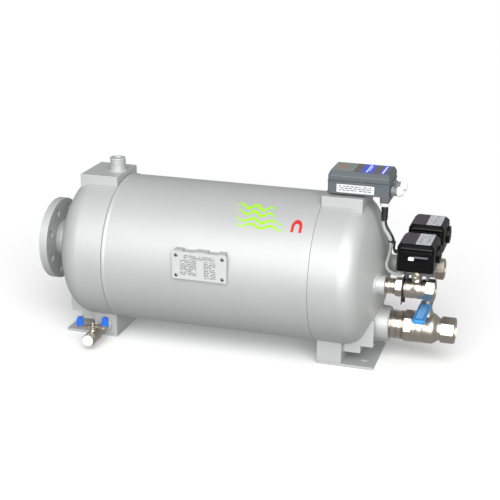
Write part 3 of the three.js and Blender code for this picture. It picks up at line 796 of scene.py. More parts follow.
class MAGFILTER_OT_vessel(bpy.types.Operator):
    """Builds the shell, both dished heads and the weld beads around their sockets"""
    bl_idname = "magfilter.vessel"
    bl_label = "Vessel"

    def execute(self, context):
        chamfer = context.scene.filter_sizes.seam
        inner = VESSEL_RADIUS - WALL
        left, right = LEFT_SEAM + SEAM_GAP, -SEAM_GAP
        bead = VESSEL_RADIUS + 1.4
        outline = [(inner, left), (VESSEL_RADIUS - chamfer, left), (VESSEL_RADIUS + 0.4, left + 1.0),
                   (bead - 0.3, left + 2.0), (bead, left + 3.0), (bead, left + 5.5), (bead - 0.4, left + 6.8),
                   (VESSEL_RADIUS + 0.3, left + 8.2), (VESSEL_RADIUS, left + 10),
                   (VESSEL_RADIUS, right - chamfer), (VESSEL_RADIUS - 0.3 * chamfer, right - 0.35 * chamfer),
                   (VESSEL_RADIUS - chamfer, right), (inner, right), (inner, left)]
        shell = turned("rolled_shell", outline, "X", (0, 0, 0), 160)
        ready(shell, "enamel", "paint", "shell")

        left_head = head("left_dished_head", -1)
        cut(left_head, plain_rod(NECK["radius"] + 0.2, LEFT_SEAM - 160, LEFT_SEAM - 100, "X", (0, 0, 0)),
            plain_rod(9.2, -180, -120, "Z", (DRAIN["x"], 0, 0)), plain_rod(10, 140, 180, "Z", (VENT_X, 0, 0)))
        ready(left_head, "enamel", "paint", "left_head")
        right_head = head("right_dished_head", 1)
        cut(right_head, plain_rod(LOWER["socket"] + 0.2, 60, 160, "X", (0, 0, LOWER["z"])),
            plain_rod(21.2, 60, 160, "X", (0, -MOTOR["y"], MOTOR["z"])),
            plain_rod(21.2, 60, 160, "X", (0, MOTOR["y"], MOTOR["z"])))
        ready(right_head, "enamel", "paint", "right_head")

        beads = [socket_weld("neck_bead", -1, NECK["radius"] + 0.8, 0, 0),
                 socket_weld("lower_bead", 1, LOWER["socket"] + 0.6, 0, LOWER["z"]),
                 socket_weld("front_bead", 1, 21.6, -MOTOR["y"], MOTOR["z"]),
                 socket_weld("rear_bead", 1, 21.6, MOTOR["y"], MOTOR["z"])]
        ready(gather("socket_weld_beads", beads), "welds", "paint")
        return {"FINISHED"}


class MAGFILTER_OT_inlet(bpy.types.Operator):
    """Builds the inlet neck and its drilled flange"""
    bl_idname = "magfilter.inlet"
    bl_label = "Inlet flange"

    def execute(self, context):
        neck = ring("weld_neck_pipe", NECK["radius"], NECK["bore"], FLANGE["face"] + 3, LEFT_SEAM - 128, "X",
                    (0, 0, 0), 96, 0.8)
        ready(neck, "enamel", "paint", "inlet_neck")
        bore = NECK["radius"] + 0.3
        face, rim, back = FLANGE["face_radius"], FLANGE["radius"], FLANGE["back"]
        outline = [(bore, back), (rim, back), (rim, FLANGE["front"]), (face, FLANGE["front"]),
                   (face, FLANGE["face"])]
        for groove in range(6):
            radius = face - 3 - groove * 3.2
            outline += [(radius + 0.6, FLANGE["face"]), (radius, FLANGE["face"] + 0.5),
                        (radius - 0.6, FLANGE["face"])]
        outline += [(bore, FLANGE["face"]), (bore, back)]
        flange = turned("inlet_pipe_flange", eased(outline, context.scene.filter_sizes.ease),
                        "X", (0, 0, 0), ROUND)
        # the tool flares at both ends, which chamfers each hole
        flare = [(0, FLANGE["front"] - 1), (BOLT_HOLE + 1.8, FLANGE["front"] - 1),
                 (BOLT_HOLE, FLANGE["front"] + 0.8), (BOLT_HOLE, back - 0.8),
                 (BOLT_HOLE + 1.8, back + 1), (0, back + 1)]
        for hole in range(BOLTS):
            turn = (hole + 0.5) * 2 * math.pi / BOLTS
            place = (0, FLANGE["circle"] * math.cos(turn), FLANGE["circle"] * math.sin(turn))
            cut(flange, turned("tool", flare, "X", place, 40))
        ready(flange, "enamel", "paint", "inlet_flange")
        fillet = [(NECK["radius"] - 0.4, back - 0.2), (NECK["radius"] + 5.5, back - 0.2),
                  (NECK["radius"] + 3.4, back + 1.6), (NECK["radius"] + 1.4, back + 3.8),
                  (NECK["radius"] - 0.4, back + 5.5), (NECK["radius"] - 0.4, back - 0.2)]
        ready(turned("flange_weld_bead", fillet, "X", (0, 0, 0), 96), "welds", "paint")
        return {"FINISHED"}


class MAGFILTER_OT_pads(bpy.types.Operator):
    """Builds the two pads on top of the heads, the vent socket and its plug"""
    bl_idname = "magfilter.pads"
    bl_label = "Top pads and vent"

    def execute(self, context):
        ease = context.scene.filter_sizes.ease
        for name, side in (("left", -1), ("right", 1)):
            pad = block(f"{name}_mounting_pad", outward(side, 0.5, PAD["reach"]), (-PAD["half"], PAD["half"]),
                        (130, PAD["top"]))
            ease_edges(pad, ease, 3)
            cut(pad, vessel_tool(0.15))
            if side < 0:
                cut(pad, plain_rod(10, 120, 180, "Z", (VENT_X, 0, 0)))
            ready(pad, "enamel", "paint", f"{name}_top_block")
        bottom, top = PAD["top"] + 0.2, 203
        outline = [(13.3, bottom), (17.5, bottom), (17.5, 184)]
        for ridge in range(4):
            z = 184 + ridge * 4.2
            outline += [(16.3, z + 0.6), (16.3, z + 1.7), (17.5, z + 2.3), (17.5, z + 4.2)]
        outline += [(17.5, top - 1.4), (16.3, top), (14.0, top)]
        for thread in range(7):
            z = top - 1 - thread * 2.2
            outline += [(13.3, z), (14.1, z - 1.1)]
        outline += [(13.3, bottom), (13.3, bottom)]
        socket = turned("vent_socket_turned", eased(outline[:-1], 0.25, 2), "Z", (VENT_X, 0, 0), 80)
        ready(socket, "enamel", "paint", "vent_socket")
        fillet = [(17.2, bottom - 0.3), (21.5, bottom - 0.3), (19.6, bottom + 1.4), (17.2, bottom + 3.6),
                  (17.2, bottom - 0.3)]
        ready(turned("vent_weld_bead", fillet, "Z", (VENT_X, 0, 0), 64), "welds", "paint")
        plug = rod("vent_screw_plug", 13.0, 184, 198, "Z", (VENT_X, 0, 0), 64, 1.0)
        recess = block("tool", (VENT_X - 4.2, VENT_X + 4.2), (-4.2, 4.2), (190.5, 199))
        round_corners(recess, "Z", 0.6, 3)
        cut(plug, recess)
        ready(plug, "stainless", "steel", "vent_plug")
        return {"FINISHED"}


class MAGFILTER_OT_feet(bpy.types.Operator):
    """Builds the foot plates with their slots, the foot boxes and the cradles"""
    bl_idname = "magfilter.feet"
    bl_label = "Feet"

    def execute(self, context):
        ease = context.scene.filter_sizes.ease
        half = FOOT["half"]
        for name, side in (("left", -1), ("right", 1)):
            plate = block(f"{name}_base_plate", outward(side, FOOT["near"], FOOT["end"]), (-half, half),
                          (FOOT["bottom"], FOOT["plate_top"]))
            round_corners(plate, "Z", 4)
            ease_edges(plate, 0.7 * ease)
            middle = LEFT_SEAM - 104 if side < 0 else 104
            for y in (-45, 45):
                slot = block("tool", (middle - 9, middle + 9), (y - 5.5, y + 5.5),
                             (FOOT["bottom"] - 2, FOOT["plate_top"] + 2))
                cut(plate, round_corners(slot, "Z", 5.4, 8))
            ready(plate, "enamel", "paint", f"{name}_foot_plate")

            low, high = outward(side, FOOT["near"], FOOT["box_end"])
            box = block(f"{name}_foot_stand", (low, high), (-half, half), (FOOT["plate_top"] + 0.2, -120))
            ease_edges(box, ease, 3)
            cut(box, block("tool", (low + 5, high - 5), inset(-half, half, 5), (FOOT["plate_top"] - 1, -110)),
                vessel_tool(0.15))
            if side < 0:
                cut(box, plain_rod(DRAIN["port"] + 0.3, -half - 1, -half + 6, "Y",
                                   (DRAIN["x"], 0, DRAIN["z"])))
            ready(box, "enamel", "paint", f"{name}_foot_box")

            cradle = block(f"{name}_cradle_block", outward(side, FOOT["box_end"] + 0.2, CRADLE["end"]),
                           (-PAD["half"], PAD["half"]), (CRADLE["bottom"], -125))
            ease_edges(cradle, ease, 3)
            inside = PAD["half"] - CRADLE["thick"]
            for y in ((-PAD["half"], -inside), (inside, PAD["half"])):
                gusset = block("gusset", outward(side, CRADLE["end"] - 6, CRADLE["gusset_end"]), y,
                               (CRADLE["gusset_bottom"], -92))
                fuse(cradle, ease_edges(gusset, 0.6 * ease))
            cut(cradle, vessel_tool(0.15))
            if side > 0:
                cut(cradle, plain_rod(LOWER["socket"] + 0.2, 60, 160, "X", (0, 0, LOWER["z"])))
            ready(cradle, "enamel", "paint", f"{name}_cradle")
        return {"FINISHED"}


def threads(radius, low, high, pitch, depth):
    """Thread crests on an outline, from low to high along the axis."""
    outline = []
    count = int((high - low) / pitch)
    for i in range(count):
        start = low + i * pitch
        outline += [(radius - depth, start), (radius, start + 0.35 * pitch), (radius, start + 0.55 * pitch),
                    (radius - depth, start + 0.9 * pitch)]
    return outline


def about_stem(piece):
    """Turns a piece about the drain valve's stem to where the handle stands."""
    stem = Matrix.Translation(at(DRAIN["x"], DRAIN["ball_y"], 0))
    piece.data.transform(stem @ Matrix.Rotation(DRAIN["turn"], 4, "Z") @ stem.inverted())
    return piece


class MAGFILTER_OT_drain(bpy.types.Operator):
    """Builds the drain pipe, its ball valve, the butterfly handle and the end cap"""
    bl_idname = "magfilter.drain"
    bl_label = "Drain valve"

    def execute(self, context):
        centre = (DRAIN["x"], 0, DRAIN["z"])
        x, ball_y, z = DRAIN["x"], DRAIN["ball_y"], DRAIN["z"]
        end = -80
        pipe = rod("drain_elbow_pipe", 9, end, 8, "Y", centre, 48, 0.8)
        fuse(pipe, rod("leg", 9, z - 4, -150, "Z", (x, 0, 0), 48, 0.4),
             turned("port", eased([(0, end), (DRAIN["port"] - 2, end), (DRAIN["port"], end + 2),
                                   (DRAIN["port"], -68), (0, -68)], 1.2), "Y", centre, 64))
        cut(pipe, plain_rod(6.5, end - 1, 5, "Y", centre), plain_rod(6.5, z, -149, "Z", (x, 0, 0)))
        ready(pipe, "enamel", "paint", "drain_pipe")

        outline = [(0, end - 0.2), (9.5, end - 0.2)]
        outline += [(r, -h) for r, h in threads(9.8, 81, 94, 1.8, 0.9)]
        outline += [(11, -95), (11, -107), (10.4, -108), (10.4, -112), (11, -113), (11, -119), (13.2, -122),
                    (14, -125), (14, -139), (13.4, -140), (13.4, -143), (14, -144), (14, -155),
                    (12.2, -158.5), (11.5, -161), (0, -161)]
        body = turned("drain_valve_forging", eased(outline, 0.7, 3), "Y", centre, 64)
        for name, low, high, radius in (("hexagon", -106, -95, 14.5), ("end hexagon", -170, -159, 15)):
            hexagon = stub(name, 6, radius, high - low, (x, (low + high) / 2, z), (math.pi / 2, 0, 0))
            fuse(body, ease_edges(hexagon, 0.8))
        fuse(body, turned("boss", eased([(0, z + 8), (7.5, z + 8), (7.5, z + 14), (6.5, z + 15.5),
                                         (6.5, z + 21), (0, z + 21)], 0.6), "Z", (x, ball_y, 0), 40))
        cut(body, plain_rod(6, -157, end - 5, "Y", centre), plain_rod(9, -175, -156, "Y", centre),
            plain_rod(11, ball_y - 10.5, ball_y + 10.5, "Y", centre),
            plain_rod(3.8, z, z + 30, "Z", (x, ball_y, 0)))
        ready(body, "forged", "nickel", "drain_valve_body")

        ball = cut(closing_ball("drain_closing_ball", 10, (x, ball_y, z)),
                   plain_rod(5.5, -20, 20, "X", (x, ball_y, z)))
        about_stem(ball)
        ready(ball, "chromed_ball", "steel", "drain_ball", body="drain_valve")
        stem = turned("drain_turned_stem", eased([
            (0, z + 10.4), (3.5, z + 10.4), (3.5, z + 27), (5.4, z + 27.2), (5.4, z + 30.5), (3.2, z + 31.2),
            (3.2, z + 33), (0, z + 33)], 0.5), "Z", (x, ball_y, 0), 40)
        ready(stem, "turned_z", "nickel", "drain_stem", body="drain_valve")

        base = z + 22
        bar = block("butterfly_bar", (x - 34, x + 34), (ball_y - 4.5, ball_y + 4.5), (base, base + 3.4))
        round_corners(bar, "Z", 3, 4)
        fuse(bar, rod("hub", 8, base, base + 4.2, "Z", (x, ball_y, 0), 40, 0.8))
        ease_edges(bar, 0.5)
        cut(bar, plain_rod(3.6, base - 5, base + 12, "Z", (x, ball_y, 0)))
        ready(about_stem(bar), "turned_z", "nickel", "drain_handle", body="drain_valve")
        wings = []
        for side in (-1, 1):
            middle = x + side * 28
            wing = block("wing", (middle - 7, middle + 7), (ball_y - 4.2, ball_y + 4.2),
                         (base + 1, base + 23))
            round_corners(wing, "Y", 5.5, 8, lambda m: m.z > base + 18)
            grips = [block("tool", (middle - 9, middle + 9), (ball_y + s * 4.2 - 0.5, ball_y + s * 4.2 + 0.5),
                           (base + 7 + k * 4.5, base + 8.6 + k * 4.5)) for s in (-1, 1) for k in range(3)]
            wings.append(ease_edges(cut(wing, *grips), 0.5))
        ready(about_stem(gather("butterfly_wings", wings)), "butterfly", "blue_handle", body="drain_valve")
        cap = turned("drain_blind_cap", eased([
            (0, -163), (8.7, -163), (8.7, -170.2), (12.5, -170.2), (12.5, -172.2), (11.5, -173), (9.8, -173),
            (9.2, -172.4), (0, -172.4)], 0.5), "Y", centre, 64)
        ready(cap, "nylon", "white_plastic", "drain_cap")
        return {"FINISHED"}


def stroke(name, path, widths, raise_mm=0.35, depth=-176):
    """A flat printed stroke along a path of (x, z) in millimetres, laid on the shell's front."""
    deselect()
    count = len(path)
    bpy.ops.mesh.primitive_grid_add(x_subdivisions=count - 1, y_subdivisions=1,
                                    size=2 * MM, location=(0, 0, 0))
    piece = bpy.context.object
    xs = sorted({round(v.co.x, 9) for v in piece.data.vertices})
    for vertex in piece.data.vertices:
        i = min(range(len(xs)), key=lambda k: abs(xs[k] - vertex.co.x))
        before, after = Vector(path[max(i - 1, 0)]), Vector(path[min(i + 1, count - 1)])
        along = (after - before).normalized()
        side = 1 if vertex.co.y > 0 else -1
        spot = Vector(path[i]) + Vector((-along.y, along.x)) * side * widths[i] / 2
        vertex.co = at(spot.x, depth, spot.y)
    settled(name)
    only(piece)
    bpy.ops.object.modifier_add(type="SHRINKWRAP")
    wrap = piece.modifiers[-1]
    wrap.target = bpy.data.objects["rolled_shell"]
    wrap.wrap_method = "PROJECT"
    wrap.use_project_x, wrap.use_project_y, wrap.use_project_z = False, True, False
    wrap.use_positive_direction, wrap.use_negative_direction = True, True
    wrap.offset = 0.05 * MM
    bpy.ops.object.modifier_apply(modifier=wrap.name)
    bpy.ops.object.mode_set(mode="EDIT")
    bpy.ops.mesh.select_all(action="SELECT")
    bpy.ops.mesh.normals_make_consistent(inside=False)
    bpy.ops.object.mode_set(mode="OBJECT")
    bpy.ops.object.modifier_add(type="SOLIDIFY")
    wall = piece.modifiers[-1]
    wall.thickness, wall.offset = raise_mm * MM, 0
    bpy.ops.object.modifier_apply(modifier=wall.name)
    return piece


def brush_widths(count, widest):
    return [widest * (0.28 + 0.72 * math.sin(math.pi * (i + 0.5) / count)) for i in range(count)]


class MAGFILTER_OT_nameplate(bpy.types.Operator):
    """Builds the rating plate with its bracket and rivets, and the printed flow and magnet marks"""
    bl_idname = "magfilter.nameplate"
    bl_label = "Rating plate and marks"

    def execute(self, context):
        x0, x1, z0, z1, y = PLATE.values()
        plate = block("rating_plate", (x0, x1), (y, y + 1.5), (z0, z1))
        round_corners(plate, "Y", 2.5, 4)
        ease_edges(plate, 0.35)
        ready(plate, "plate", "steel", "nameplate")
        corners = [(x, y, z) for x in inset(x0, x1, 9) for z in inset(z0, z1, 8)]
        x, _, z = corners[0]
        cross = turned("plate_screw", eased([(0, 0.2), (3.9, 0.2), (3.9, -0.7), (2.6, -1.9), (0, -2.4)],
                                            0.6), "Y", corners[0], 32)
        cut(cross, block("tool", (x - 0.6, x + 0.6), (y - 3, y - 1), (z - 2.6, z + 2.6)),
            block("tool", (x - 2.6, x + 2.6), (y - 3, y - 1), (z - 0.6, z + 0.6)))
        ready(gather("rating_plate_screws", repeated(cross, corners)), "screw_steel", "steel")
        bracket = block("rating_plate_bracket", inset(x0, x1, 4), (y + 1.7, -140), (z0 - 1.5, z1 + 3))
        cut(bracket, block("tool", (x0, x1), (y + 4, -130), (z0 + 2, z1 - 0.5)),
            block("tool", (x0 + 23, x0 + 50), (y - 1, -130), (z1 + 0.4, z1 + 5)),
            block("tool", (x0 + 78, x0 + 101), (y - 1, -130), (z1 + 0.4, z1 + 5)), vessel_tool(0.15))
        ready(bracket, "enamel", "paint", "plate_bracket")

        waves = []
        for line, (left, right, height) in enumerate((
                (-175, -92, 143), (-170, -86, 134), (-172, -68, 123), (-167, -62, 114))):
            path = []
            for i in range(72):
                t = i / 71
                path.append((left + (right - left) * t,
                             height + 2.8 * math.sin(t * 5 * math.pi + line) - 2 * t))
            waves.append(stroke("flow_line", path, brush_widths(72, 4.4)))
        ready(gather("printed_flow_lines", waves), "flow_ink", "paint")
        arch = [(-37 + 8.5 * math.cos(a), 118 + 8.5 * math.sin(a))
                for a in (math.radians(-10 + 200 * i / 40) for i in range(41))]
        path = [(-28.4, 109)] + arch + [(-45.6, 109)]
        ready(stroke("printed_horseshoe_magnet", path, [6.0] * len(path)), "magnet_ink", "paint")
        return {"FINISHED"}


def screw(name, place, radius, height):
    """A pan-head screw that stands on a place, pointing up, with a slot."""
    outline = eased([(0, -1), (radius, -1), (radius, 0.45 * height), (0.6 * radius, height), (0, height)],
                    0.5)
    head_piece = turned(name, outline, "Z", place, 32)
    x, y, z = place
    return cut(head_piece, block("tool", (x - 0.4, x + 0.4), (y - radius, y + radius),
                                 (z + 0.5 * height, z + height + 1)))


class MAGFILTER_OT_controller(bpy.types.Operator):
    """Builds the controller's case, lid, keypad, labels, screws and cable glands"""
    bl_idname = "magfilter.controller"
    bl_label = "Controller"

    def execute(self, context):
        x0, x1, half, bottom, split, top, deep = BOX.values()
        floor = bottom + 3
        case = slab("controller_case", (x0, x1), (-half, half), (bottom, split), "Z", 5)
        ease_edges(case, 1.2, 3)
        lower = slab("deep", (x1 - 19, x1 - 0.02), inset(-half, half, 0.02), (deep, split - 10), "Z", 4)
        fuse(case, ease_edges(lower, 1.2, 3),
             ease_edges(block("pad", (22, 82), (-30, 30), (PAD["top"] + 0.3, bottom + 1)), 0.8))
        rim = slab("rim", (x0 - 0.9, x1 + 0.9), (-half - 0.9, half + 0.9),
                   (split - 4.2, split - 0.4), "Z", 5.6)
        fuse(case, ease_edges(rim, 0.6))
        for low, high in ((x0 - 6, x0 + 1), (x1 - 1, x1 + 4.4)):
            lug = slab("lug", (low, high), (-8, 8), (split - 12, split - 3), "Z", 2, 3)
            fuse(case, ease_edges(lug, 0.6))
        cut(case, slab("tool", inset(x0, x1, 3), inset(-half, half, 3), (floor, split + 1), "Z", 3),
            plain_rod(5, deep - 1, floor + 1, "Z", (GLAND["x"], GLAND["y"], 0)))
        places = [(x, y, 0) for y in (-34, 34) for x in (30, 112)]
        fuse(case, *repeated(rod("post", 3, floor - 1, 185.7, "Z", places[0], 24, 0.3), places))
        ready(case, "case", "grey_plastic", "controller_base")

        lid = slab("controller_cover", (x0, x1), (-half, half), (split + 0.3, top), "Z", 5)
        only(lid)
        bpy.ops.object.mode_set(mode="EDIT")
        select_faces(lid, lambda middle, normal: normal.z > 0.9)
        bpy.ops.transform.translate(value=(0, 0, -9 * MM))
        bpy.ops.mesh.extrude_region_move(TRANSFORM_OT_translate={"value": (0, 0, 9 * MM)})
        width, depth = x1 - x0, 2 * half
        bpy.ops.transform.resize(
            value=((width - 7) / width, (depth - 17) / depth, 1), center_override=at((x0 + x1) / 2, 0, top))
        bpy.ops.object.mode_set(mode="OBJECT")
        ease_edges(lid, 1.4, 3, 20)
        cut(lid, slab("tool", inset(x0, x1, 10), inset(-half, half, 10), (split - 1, top - 3), "Z", 3),
            block("tool", (x0 + 4.2, 61.2), inset(-half, half, 9.4), (top - 0.5, top + 1)),
            block("tool", (62.6, x1 - 4.2), inset(-half, half, 9.4), (top - 0.5, top + 1)))
        ready(lid, "case", "grey_plastic", "controller_lid")

        film = slab("keypad_membrane", (x0 + 4.5, 60.9), inset(-half, half, 9.7),
                    (top - 0.5, top + 0.1), "Z", 1.2, 3)
        places = [(x0 + 44, -22 + 14 * k, 0) for k in range(4)]
        keys = repeated(rod("key", 2.6, top - 0.2, top + 0.6, "Z", places[0], 24, 0.5), places)
        ready(gather("keypad_membrane", [film, *keys]), "keypad", "grey_plastic")
        window = slab("keypad_window", (x0 + 14, x0 + 34), (-20, 20), (top - 0.3, top + 0.35), "Z", 2, 3)
        ready(window, "keypad_red", "grey_plastic")
        strip = slab("lid_label", (62.9, x1 - 4.5), inset(-half, half, 9.7),
                     (top - 0.5, top + 0.1), "Z", 2, 3)
        ready(strip, "strip_label", "grey_plastic")
        blues = [block("band", (low, high), inset(-half, half, 10.2), (top - 0.3, top + 0.2))
                 for low, high in ((76, 100), (116, 127))]
        ready(gather("lid_label_bands", blues), "strip_blue", "grey_plastic")
        bars = [block("bar", (low, high), (y, far), (top - 0.2, top + 0.28))
                for low, high, y, far in ((86.4, 88.8, -31, 31), (91, 92.4, -20, 22), (120, 123, -30, 26))]
        ready(gather("lid_label_bars", bars), "strip_white", "white_plastic")
        front = slab("case_rating_label", (29, 108), (-half - 0.35, -half + 0.4), (181.7, 199), "Y", 1, 3)
        front_label = cut(front, block("tool", (20, 120), (-half - 2, -half - 0.34), (181, 199.5)))
        ready(front_label, "case_label", "white_plastic")

        places = [(x0 - 3.2, 0, split - 3.0), (x1 + 2, 0, split - 3.0)]
        ready(gather("case_screws", repeated(screw("lid_screw", places[0], 2.4, 1.6), places)), "stainless",
              "steel")

        nut = turned("bottom_gland_nut", eased([
            (6.5, deep - 0.3), (10.4, deep - 0.3), (10.4, deep - 5.6), (9.6, deep - 6.6), (8.8, deep - 8.6),
            (6.5, deep - 8.8), (6.5, deep - 0.3)], 0.5), "Z", (GLAND["x"], GLAND["y"], 0), 64)
        ready(nut, "nylon", "white_plastic", "bottom_gland")
        for name, y in (("front", -GLAND["side_y"]), ("rear", GLAND["side_y"])):
            centre = (0, y, GLAND["side_z"])
            body = prism(f"{name}_gland_body", 6, 21, x1 + 1.2, x1 + 6.4, centre)
            fuse(body, rod("collar", 9.4, x1 + 0.3, x1 + 13, "X", centre, 64, 0.6),
                 rod("ring", 10.2, x1 + 8.4, x1 + 12.6, "X", centre, 64, 0.8))
            ready(body, "gland", "grey_plastic")
            outline = [(4.0, x1 + 13.2), (9.8, x1 + 13.2), (10.2, x1 + 14.4), (10.2, x1 + 20.5),
                       (9.2, x1 + 22.5), (8.6, x1 + 25.2), (7.4, x1 + 26), (4.0, x1 + 26), (4.0, x1 + 13.2)]
            dome = turned(f"{name}_gland_dome", eased(outline, 0.7), "X", centre, 64)
            flutes = []
            for k in range(12):
                turn = k * math.pi / 6
                place = (0, y + 11.0 * math.cos(turn), GLAND["side_z"] + 11.0 * math.sin(turn))
                flutes.append(plain_rod(1.3, x1 + 12, x1 + 20.6, "X", place, 12))
            cut(dome, *flutes)
            fuse(dome, rod("stopper", 5.2, x1 + 14, x1 + 24.6, "X", centre, 40, 0.8))
            ready(dome, "dome", "white_plastic", f"side_gland_{name}")

        board = bpy.data.objects.get("controller_board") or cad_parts["controller_board"]
        board.data.materials[0] = finish_of("board")
        return {"FINISHED"}


class MAGFILTER_OT_lower_valve(bpy.types.Operator):
    """Builds the lower weld socket, its nipple and the hand-turned ball valve with its lever"""
    bl_idname = "magfilter.lower_valve"
    bl_label = "Lower outlet valve"

    def execute(self, context):
        z, sx = LOWER["z"], LOWER["stem_x"]
        centre = (0, 0, z)
        socket = turned("lower_weld_socket",
                        eased([(31.4, 92), (LOWER["socket"], 92), (LOWER["socket"], 144.6), (36.0, 148.4),
                               (32.0, 149), (31.4, 148), (31.4, 92)], 0.8), "X", centre, 96)
        ready(socket, "enamel", "paint", "lower_socket")
        outline = [(26, 127), (30.4, 127)] + threads(31, 139, 154, PIPE_PITCH, 1.1)
        outline += [(30.9, 154.4), (30.9, 163.6), (29.4, 164.6), (29.4, 167.2), (30.9, 168.2), (30.9, 174.4)]
        outline += threads(31, 174.6, 194, PIPE_PITCH, 1.1) + [(30, 196), (26, 196), (26, 127)]
        ready(turned("lower_turned_nipple", outline, "X", centre, 96), "turned_x", "nickel", "lower_nipple")

        outline = [(0, 196), (32.8, 196), (33.6, 197.4), (33.6, 203), (32.9, 204), (32.9, 206), (33.5, 207),
                   (33.5, 212), (33.2, 217), (32.8, 218), (32.8, 219.6), (33.4, 220.6), (33.5, 228),
                   (33.4, 236), (33.0, 240), (31.4, 243.6), (28, 248), (25.4, 251.4), (24.2, 254),
                   (24, 257), (24, 262), (0, 262)]
        body = turned("lower_valve_forging", eased(outline, 0.8, 3), "X", centre, 96)
        fuse(body, prism("collar", 8, 67.6, 180, 198, centre),
             prism("outlet", 8, 56, 258, LOWER["end"], centre),
             turned("boss", eased([(0, z + 27), (16.5, z + 27), (15, z + 34), (12.6, z + 43), (12, z + 45),
                                   (12, z + 49), (0, z + 49)], 1.2), "Z", (sx, 0, 0), 64),
             rod("ring", 26.6, LOWER["end"] - 4.5, LOWER["end"] + 0.6, "X", centre, 96, 0.8))
        chamber = [(0, 198.5), (26, 198.5), (26, 238), (18, 249.5), (0, 249.5)]
        mouth = [(0, 264), (24.0, 264)] + threads(24.8, 265, 284, PIPE_PITCH, 1.0)
        mouth += [(25, 285.0), (26, LOWER["end"] + 1), (0, LOWER["end"] + 1)]
        cut(body, plain_rod(31.4, 179, 197, "X", centre), plain_rod(18, 196, 266, "X", centre),
            turned("tool", chamber, "X", centre, 64), turned("tool", mouth, "X", centre, 72),
            plain_rod(7.4, z, z + 60, "Z", (sx, 0, 0)))
        ready(body, "forged", "nickel", "lower_valve_body")

        ball = cut(closing_ball("lower_closing_ball", 24, (sx, 0, z), 64),
                   plain_rod(17, -40, 40, "Y", (sx, 0, z)))
        ready(ball, "chromed_ball", "steel", "lower_ball", body="lower_valve")
        stem = turned("lower_turned_stem", eased([(0, z + 24.5), (7, z + 24.5), (7, z + 53.8), (5, z + 54),
                                                  (5, z + 70.5), (0, z + 70.5)], 0.5), "Z", (sx, 0, 0), 48)
        ready(stem, "turned_z", "nickel", "lower_stem", body="lower_valve")

        low = LOWER["lever_z"]
        bar = slab("steel_lever", (sx - 13, sx + 13), (-34, 14), (low + 0.5, low + 4.5), "Z", 9, 8)
        ease_edges(bar, 0.6)
        cut(bar, plain_rod(7.2, low - 5, low + 10, "Z", (sx, 0, 0)))
        nut = rod("washer", 10.5, low + 4.4, low + 6.2, "Z", (sx, 0, 0), 48, 0.5)
        hex_nut = ease_edges(stub("nut", 6, 9, 8, (sx, 0, low + 10.2)), 0.7)
        ready(gather("steel_lever", [bar, nut, hex_nut]), "stainless", "blue_handle",
              "lower_lever", body="lower_valve")
        sleeve = block("lever_sleeve", (sx - 12.8, sx + 12.8), (-118, -18), (low - 1, low + 8))
        round_corners(sleeve, "Z", 6, 8)
        ease_edges(sleeve, 2.6, 4, 50)
        panel = block("tool", (sx - 8, sx + 8), (-108, -30), (low + 7.5, low + 9))
        cut(sleeve, round_corners(panel, "Z", 4, 5),
            block("tool", (sx - 7, sx + 7), (-20, -13), (low + 0.3, low + 4.7)))
        ready(sleeve, "sleeve", "blue_handle", body="lower_valve")
        places = [(sx - 4.8 + 4.8 * column, -101 + 8 * row, 0) for row in range(9) for column in range(3)]
        pips = repeated(rod("pip", 1.6, low + 7.3, low + 8.1, "Z", places[0], 16, 0.3), places)
        ready(gather("lever_sleeve_grip_pips", pips), "pips", "blue_handle", body="lower_valve")
        return {"FINISHED"}


